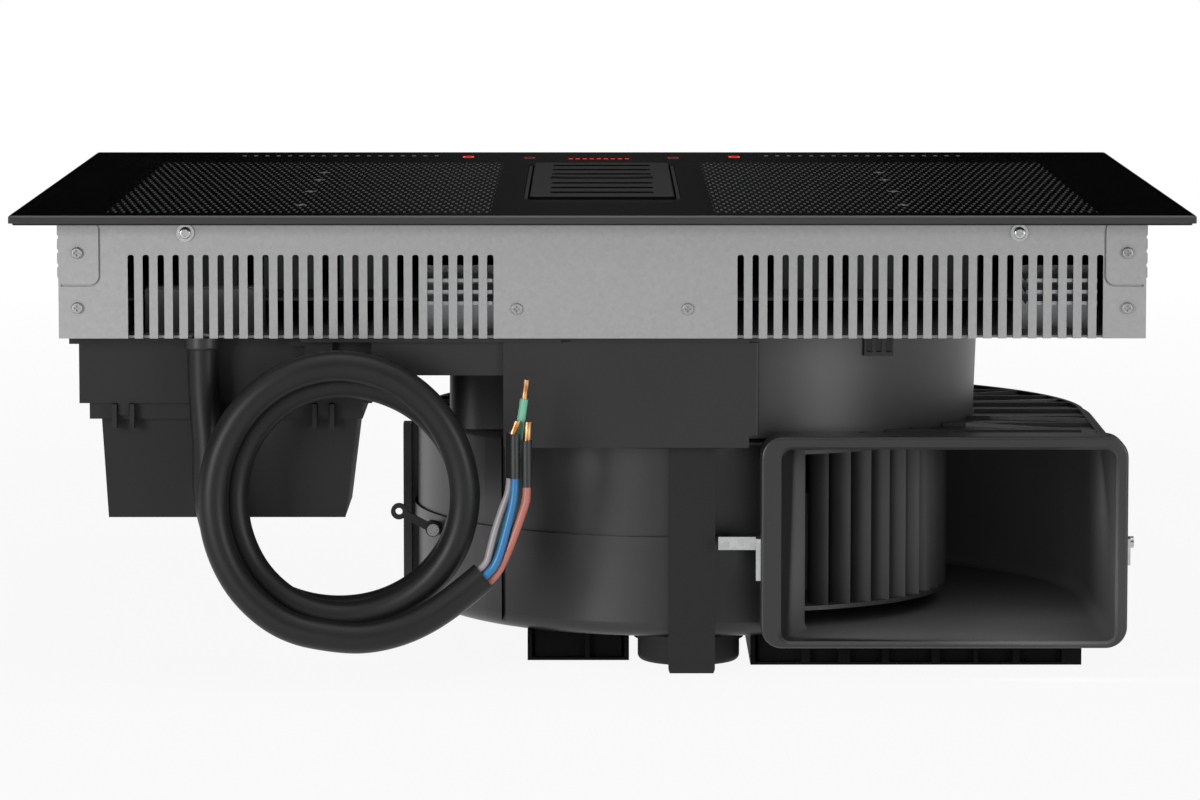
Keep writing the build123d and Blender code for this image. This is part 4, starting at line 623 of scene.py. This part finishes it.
# the five cores fan out of the cut sheath; each list is the run after it leaves the sheath
cores = {
    "diameter": 0.0042,
    "circle": 0.0039,
    "leave": 0.005,
    "routes": {
        "core_blue": ((-0.0526, -0.2674, -0.1680), (-0.0493, -0.2670, -0.1565), (-0.0456, -0.2666, -0.1420),
                      (-0.0443, -0.2662, -0.1335), (-0.0443, -0.2662, -0.1276)),
        "core_brown": ((-0.0496, -0.2649, -0.1695), (-0.0450, -0.2652, -0.1580), (-0.0404, -0.2657, -0.1450),
                       (-0.0382, -0.2660, -0.1380), (-0.0382, -0.2660, -0.1320)),
        "core_black": ((-0.0506, -0.2605, -0.1685), (-0.0456, -0.2606, -0.1575), (-0.0407, -0.2611, -0.1450),
                       (-0.0382, -0.2614, -0.1380), (-0.0382, -0.2614, -0.1320)),
        "core_earth": ((-0.0549, -0.2598, -0.1645), (-0.0512, -0.2586, -0.1525), (-0.0469, -0.2574, -0.1370),
                       (-0.0439, -0.2569, -0.1205), (-0.0422, -0.2573, -0.1045), (-0.0404, -0.2584, -0.0945),
                       (-0.0396, -0.2589, -0.0880)),
        "core_grey": ((-0.0569, -0.2648, -0.1648), (-0.0542, -0.2640, -0.1540), (-0.0502, -0.2631, -0.1425),
                      (-0.0466, -0.2624, -0.1335), (-0.0466, -0.2624, -0.1276)),
    },
}


def coreStart(number, lead, look):
    end = Vector(lead["tail"][-1])
    way = (end - Vector(lead["tail"][-2])).normalized()
    across = Vector((0, 1, 0)) - way * way.y
    across.normalize()
    upward = way.cross(across)
    angle = pi + 2 * pi / len(look["routes"]) * number
    start = end + look["circle"] * (cos(angle) * across + sin(angle) * upward)
    return start, start + look["leave"] * way


for number, (coreName, route) in enumerate(cores["routes"].items()):
    start, first = coreStart(number, mainsLead, cores)
    points = [tuple(start), tuple(first)] + list(route)
    colourName = coreName.split("_")[1].capitalize()
    core = cordLine("insulated" + colourName + "Core", points, cores["diameter"], corePvc[coreName])
    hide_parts(coreName)
print("cores laid")


# lit marks under the glass: two figures and a slider's dashes, and beside them the pale printed ticks and
# zone crosses with a painted glow
litMarks = {
    "height": 0.00008,
    "digitAt": ((-0.078, 0.215), (0.078, 0.215)),
    "digitSize": (0.0065, 0.013),
    "faintAt": ((-0.042, 0.206), (0.042, 0.206)),
    "barWidth": 0.0016,
    "sliderAt": (-0.020, 0.017, 0.197),
    "sliderDashes": 9,
    "tickFrom": 0.097,
    "tickTo": 0.210,
    "ticks": 18,
    "tickY": 0.225,
    "tickSize": (0.0022, 0.006),
    "dashFill": 0.62,
    "dashDepth": 0.0028,
    "crossBars": ((0.006, 0.0016), (0.0016, 0.010)),
    "rimShare": 0.2,
    "centreMarks": (-0.182, -0.081, 0.012, 0.074),
    "centreX": 0.156,
}


def glowing(name, colour, strength):
    material, tree, shader = newMaterial(name, {
        "Base Color": toLinear("#080808"), "Roughness": 0.3,
        "Emission Color": toLinear(colour), "Emission Strength": strength})
    place = addNode(tree, "ShaderNodeTexCoord")
    bloom = addNode(tree, "ShaderNodeTexNoise", {"Scale": perMetre(3)}, {"Vector": place.outputs["Object"]})
    haze = addNode(tree, "ShaderNodeMapRange", {"To Min": 0.25, "To Max": 0.4},
                   {"Value": bloom.outputs["Fac"]})
    tree.links.new(haze.outputs["Result"], shader.inputs["Roughness"])
    return material


redLight = glowing("redLightThroughGlass", "#ff2d2a", 1.6)
faintRedLight = glowing("faintRedLightThroughGlass", "#a01818", 0.6)
# pale printed ink with a faint emission: a painted glow on the ticks and zone crosses
glowingPaleInk = glowing("paleCeramicInkPaintedGlow", "#8d8f92", 0.35)


def plates(name, boxes, material):
    # thin raised plates with drawn-in rims, one for each (x, y, width, depth)
    corners = ((-1, -1), (1, -1), (1, 1), (-1, 1))
    mesh = bmesh.new()
    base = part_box("glass_panel")[1][2]
    for x, y, width, depth in boxes:
        rim = min(width, depth) * litMarks["rimShare"]
        top = base + litMarks["height"]
        low = [mesh.verts.new((x + sx * width / 2, y + sy * depth / 2, base)) for sx, sy in corners]
        high = [mesh.verts.new((x + sx * (width / 2 - rim), y + sy * (depth / 2 - rim), top))
                for sx, sy in corners]
        mesh.faces.new(low[::-1])
        mesh.faces.new(high)
        for side in range(4):
            after = (side + 1) % 4
            mesh.faces.new((low[side], low[after], high[after], high[side]))
    data = bpy.data.meshes.new(name)
    mesh.to_mesh(data)
    mesh.free()
    data.materials.append(material)
    piece = bpy.data.objects.new(name, data)
    bpy.context.collection.objects.link(piece)
    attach(piece, "root")
    return piece


def figureBars(x, y, look):
    # the bars of a plain lit nought
    width, depth = look["digitSize"]
    bar = look["barWidth"]
    bars = [(x, y + side * (depth - bar) / 2, width - 2 * bar, bar) for side in (-1, 1)]
    for side in (-1, 1):
        for half in (-1, 1):
            bars.append((x + side * (width - bar) / 2, y + half * depth / 4, bar, depth / 2 - 1.4 * bar))
    return bars


def makeLitMarks(look):
    litBars = [bar for x, y in look["digitAt"] for bar in figureBars(x, y, look)]
    faintBars = [bar for x, y in look["faintAt"] for bar in figureBars(x, y, look)]
    plates("litFigures", litBars, redLight)
    plates("faintFigures", faintBars, faintRedLight)
    startX, endX, y = look["sliderAt"]
    pitch = (endX - startX) / look["sliderDashes"]
    dashes = [(startX + (number + 0.5) * pitch, y, pitch * look["dashFill"], look["dashDepth"])
              for number in range(look["sliderDashes"])]
    plates("sliderDashes", dashes, redLight)
    step = (look["tickTo"] - look["tickFrom"]) / (look["ticks"] - 1)
    ticks = [(side * (look["tickFrom"] + number * step), look["tickY"], *look["tickSize"])
             for side in (-1, 1) for number in range(look["ticks"])]
    plates("paleTicks", ticks, glowingPaleInk)
    crosses = []
    for side in (-1, 1):
        for y in look["centreMarks"]:
            crosses += [(side * look["centreX"], y, *bar) for bar in look["crossBars"]]
    plates("zoneCentres", crosses, glowingPaleInk)


makeLitMarks(litMarks)
print("glass marks made")


# studio: pale floor just under the blower, white surroundings, three softboxes, and three small lamps inside
# the object that only its diffuse faces see
studio = {
    "floorDrop": 0.0005,
    "floorSize": 60.0,
    "floorColour": "#d8d8d8",
    "nearRadius": 0.7,
    "farRadius": 2.2,
    # how far the floor's own white covers its shading, close to the object
    "nearWhite": 0.92,
    "skyStrength": 0.15,
    # place, what it looks at, width and height, watts, whether glossy faces mirror it
    "lamps": {
        "leftSoftbox": ((-1.50, -2.00, 0.30), (-0.05, -0.2, -0.1), (0.8, 0.9), 28, True),
        "rightSoftbox": ((1.65, -1.75, 0.25), (0.1, -0.2, -0.12), (0.6, 0.9), 17, True),
        "topSoftbox": ((0.1, -0.2, 2.2), (0, 0, 0), (1.6, 1.6), 16, True),
        "outletFillLamp": ((0.177, -0.236, -0.1655), (0.215, 0.0, -0.19), (0.15, 0.085), 0.35, False),
        "outletFloorLamp": ((0.215, -0.170, -0.140), (0.225, -0.120, -0.230), (0.06, 0.05), 0.12, False),
        "casingFillLamp": ((0, -0.232, -0.020), (0, 0.0, 0.02), (0.5, 0.015), 0.22, False),
    },
    # pieces that a softbox doesn't light, as black cards beside it would do
    "keptOff": {
        "leftSoftbox": ("glass_panel", "intake_grille", "intake_frame"),
        "rightSoftbox": ("glass_panel", "intake_grille", "intake_frame"),
    },
    "flagRadius": 4.0,
    "flagHeights": (0.02, 2.6),
    "flagDark": 0.0015,
    "flagPale": 0.020,  # behind the middle of the hob
    "flagPaleHalf": 0.5,
    "flagPanels": 48,
}


def backgroundRays(tree):
    # 1 for the rays that see the white background: straight, mirrored or through glass
    rays = addNode(tree, "ShaderNodeLightPath")
    seen = addNode(tree, "ShaderNodeMath",
                   links={0: rays.outputs["Is Camera Ray"], 1: rays.outputs["Is Glossy Ray"]},
                   operation="ADD", use_clamp=True)
    return addNode(tree, "ShaderNodeMath",
                   links={0: seen.outputs["Value"], 1: rays.outputs["Is Transmission Ray"]},
                   operation="ADD", use_clamp=True)


def makeFloor(look):
    material = bpy.data.materials.new("paleStudioFloor")
    material.use_nodes = True
    tree = material.node_tree
    tree.nodes.clear()
    through = backgroundRays(tree)
    place = addNode(tree, "ShaderNodeTexCoord")
    distance = addNode(tree, "ShaderNodeVectorMath", links={0: place.outputs["Object"]}, operation="LENGTH")
    fade = addNode(tree, "ShaderNodeMapRange",
                   {"From Min": look["nearRadius"], "From Max": look["farRadius"],
                    "To Min": look["nearWhite"], "To Max": 1.0},
                   {"Value": distance.outputs["Value"]})
    share = addNode(tree, "ShaderNodeMath", links={0: through.outputs["Value"], 1: fade.outputs["Result"]},
                    operation="MULTIPLY")
    lit = addNode(tree, "ShaderNodeBsdfDiffuse", {"Color": toLinear(look["floorColour"])})
    white = addNode(tree, "ShaderNodeEmission", {"Color": (1, 1, 1, 1), "Strength": 1.0})
    mixed = addNode(tree, "ShaderNodeMixShader", links={0: share.outputs["Value"]})
    tree.links.new(lit.outputs["BSDF"], mixed.inputs[1])
    tree.links.new(white.outputs["Emission"], mixed.inputs[2])
    addNode(tree, "ShaderNodeOutputMaterial", links={"Surface": mixed.outputs["Shader"]})
    half = look["floorSize"] / 2
    z = solidBox[0][2] - look["floorDrop"]
    mesh = bpy.data.meshes.new("studioFloor")
    corners = [(-half, -half, z), (half, -half, z), (half, half, z), (-half, half, z)]
    mesh.from_pydata(corners, [], [(0, 1, 2, 3)])
    mesh.materials.append(material)
    floor = bpy.data.objects.new("studioFloor", mesh)
    bpy.context.collection.objects.link(floor)


def makeFlag(look):
    # a low dark band far round the object, seen only in reflections: the glass stays black at a flat angle,
    # and its middle mirrors a soft paler patch
    material = bpy.data.materials.new("blackFlagCloth")
    material.use_nodes = True
    tree = material.node_tree
    tree.nodes.clear()
    place = addNode(tree, "ShaderNodeTexCoord")
    axes = addNode(tree, "ShaderNodeSeparateXYZ", links={"Vector": place.outputs["Object"]})
    aside = addNode(tree, "ShaderNodeMath", links={0: axes.outputs["X"]}, operation="ABSOLUTE")
    glow = addNode(tree, "ShaderNodeMapRange",
                   {"From Max": look["flagPaleHalf"], "To Min": look["flagPale"], "To Max": look["flagDark"]},
                   {"Value": aside.outputs["Value"]}, interpolation_type="SMOOTHSTEP")
    cloth = addNode(tree, "ShaderNodeEmission", links={"Strength": glow.outputs["Result"]})
    addNode(tree, "ShaderNodeOutputMaterial", links={"Surface": cloth.outputs["Emission"]})
    count = look["flagPanels"]
    low, high = look["flagHeights"]
    ring = [(look["flagRadius"] * cos(2 * pi * n / count), look["flagRadius"] * sin(2 * pi * n / count))
            for n in range(count)]
    points = [(x, y, low) for x, y in ring] + [(x, y, high) for x, y in ring]
    faces = [(n, (n + 1) % count, (n + 1) % count + count, n + count) for n in range(count)]
    mesh = bpy.data.meshes.new("reflectionFlag")
    mesh.from_pydata(points, [], faces)
    mesh.materials.append(material)
    flag = bpy.data.objects.new("reflectionFlag", mesh)
    bpy.context.collection.objects.link(flag)
    flag.visible_camera = False
    flag.visible_diffuse = False
    flag.visible_shadow = False


def makeSky(look):
    world = bpy.data.worlds.new("whiteSurroundings")
    world.use_nodes = True
    tree = world.node_tree
    tree.nodes.clear()
    through = backgroundRays(tree)
    strength = addNode(tree, "ShaderNodeMapRange", {"To Min": look["skyStrength"], "To Max": 1.0},
                       {"Value": through.outputs["Value"]})
    sky = addNode(tree, "ShaderNodeBackground", {"Color": (1, 1, 1, 1)},
                  {"Strength": strength.outputs["Result"]})
    addNode(tree, "ShaderNodeOutputWorld", links={"Surface": sky.outputs["Background"]})
    bpy.context.scene.world = world


def makeLamps(look):
    for name, (place, target, size, watts, mirrored) in look["lamps"].items():
        data = bpy.data.lights.new(name, "AREA")
        data.shape = "RECTANGLE"
        data.size, data.size_y = size
        data.energy = watts
        lamp = bpy.data.objects.new(name, data)
        lamp.location = place
        way = Vector(target) - Vector(place)
        lamp.rotation_euler = way.to_track_quat("-Z", "Y").to_euler()
        lamp.visible_camera = False
        lamp.visible_glossy = mirrored
        if name in look["keptOff"]:
            shaded = bpy.data.collections.new(name + "KeptOff")
            for nodeName in look["keptOff"][name]:
                shaded.objects.link(nodes[nodeName])
            for member in shaded.collection_objects:
                member.light_linking.link_state = "EXCLUDE"
            lamp.light_linking.receiver_collection = shaded
        bpy.context.collection.objects.link(lamp)


makeFloor(studio)
makeFlag(studio)
makeSky(studio)
makeLamps(studio)
bpy.context.scene.view_settings.view_transform = "Standard"
print("studio made")
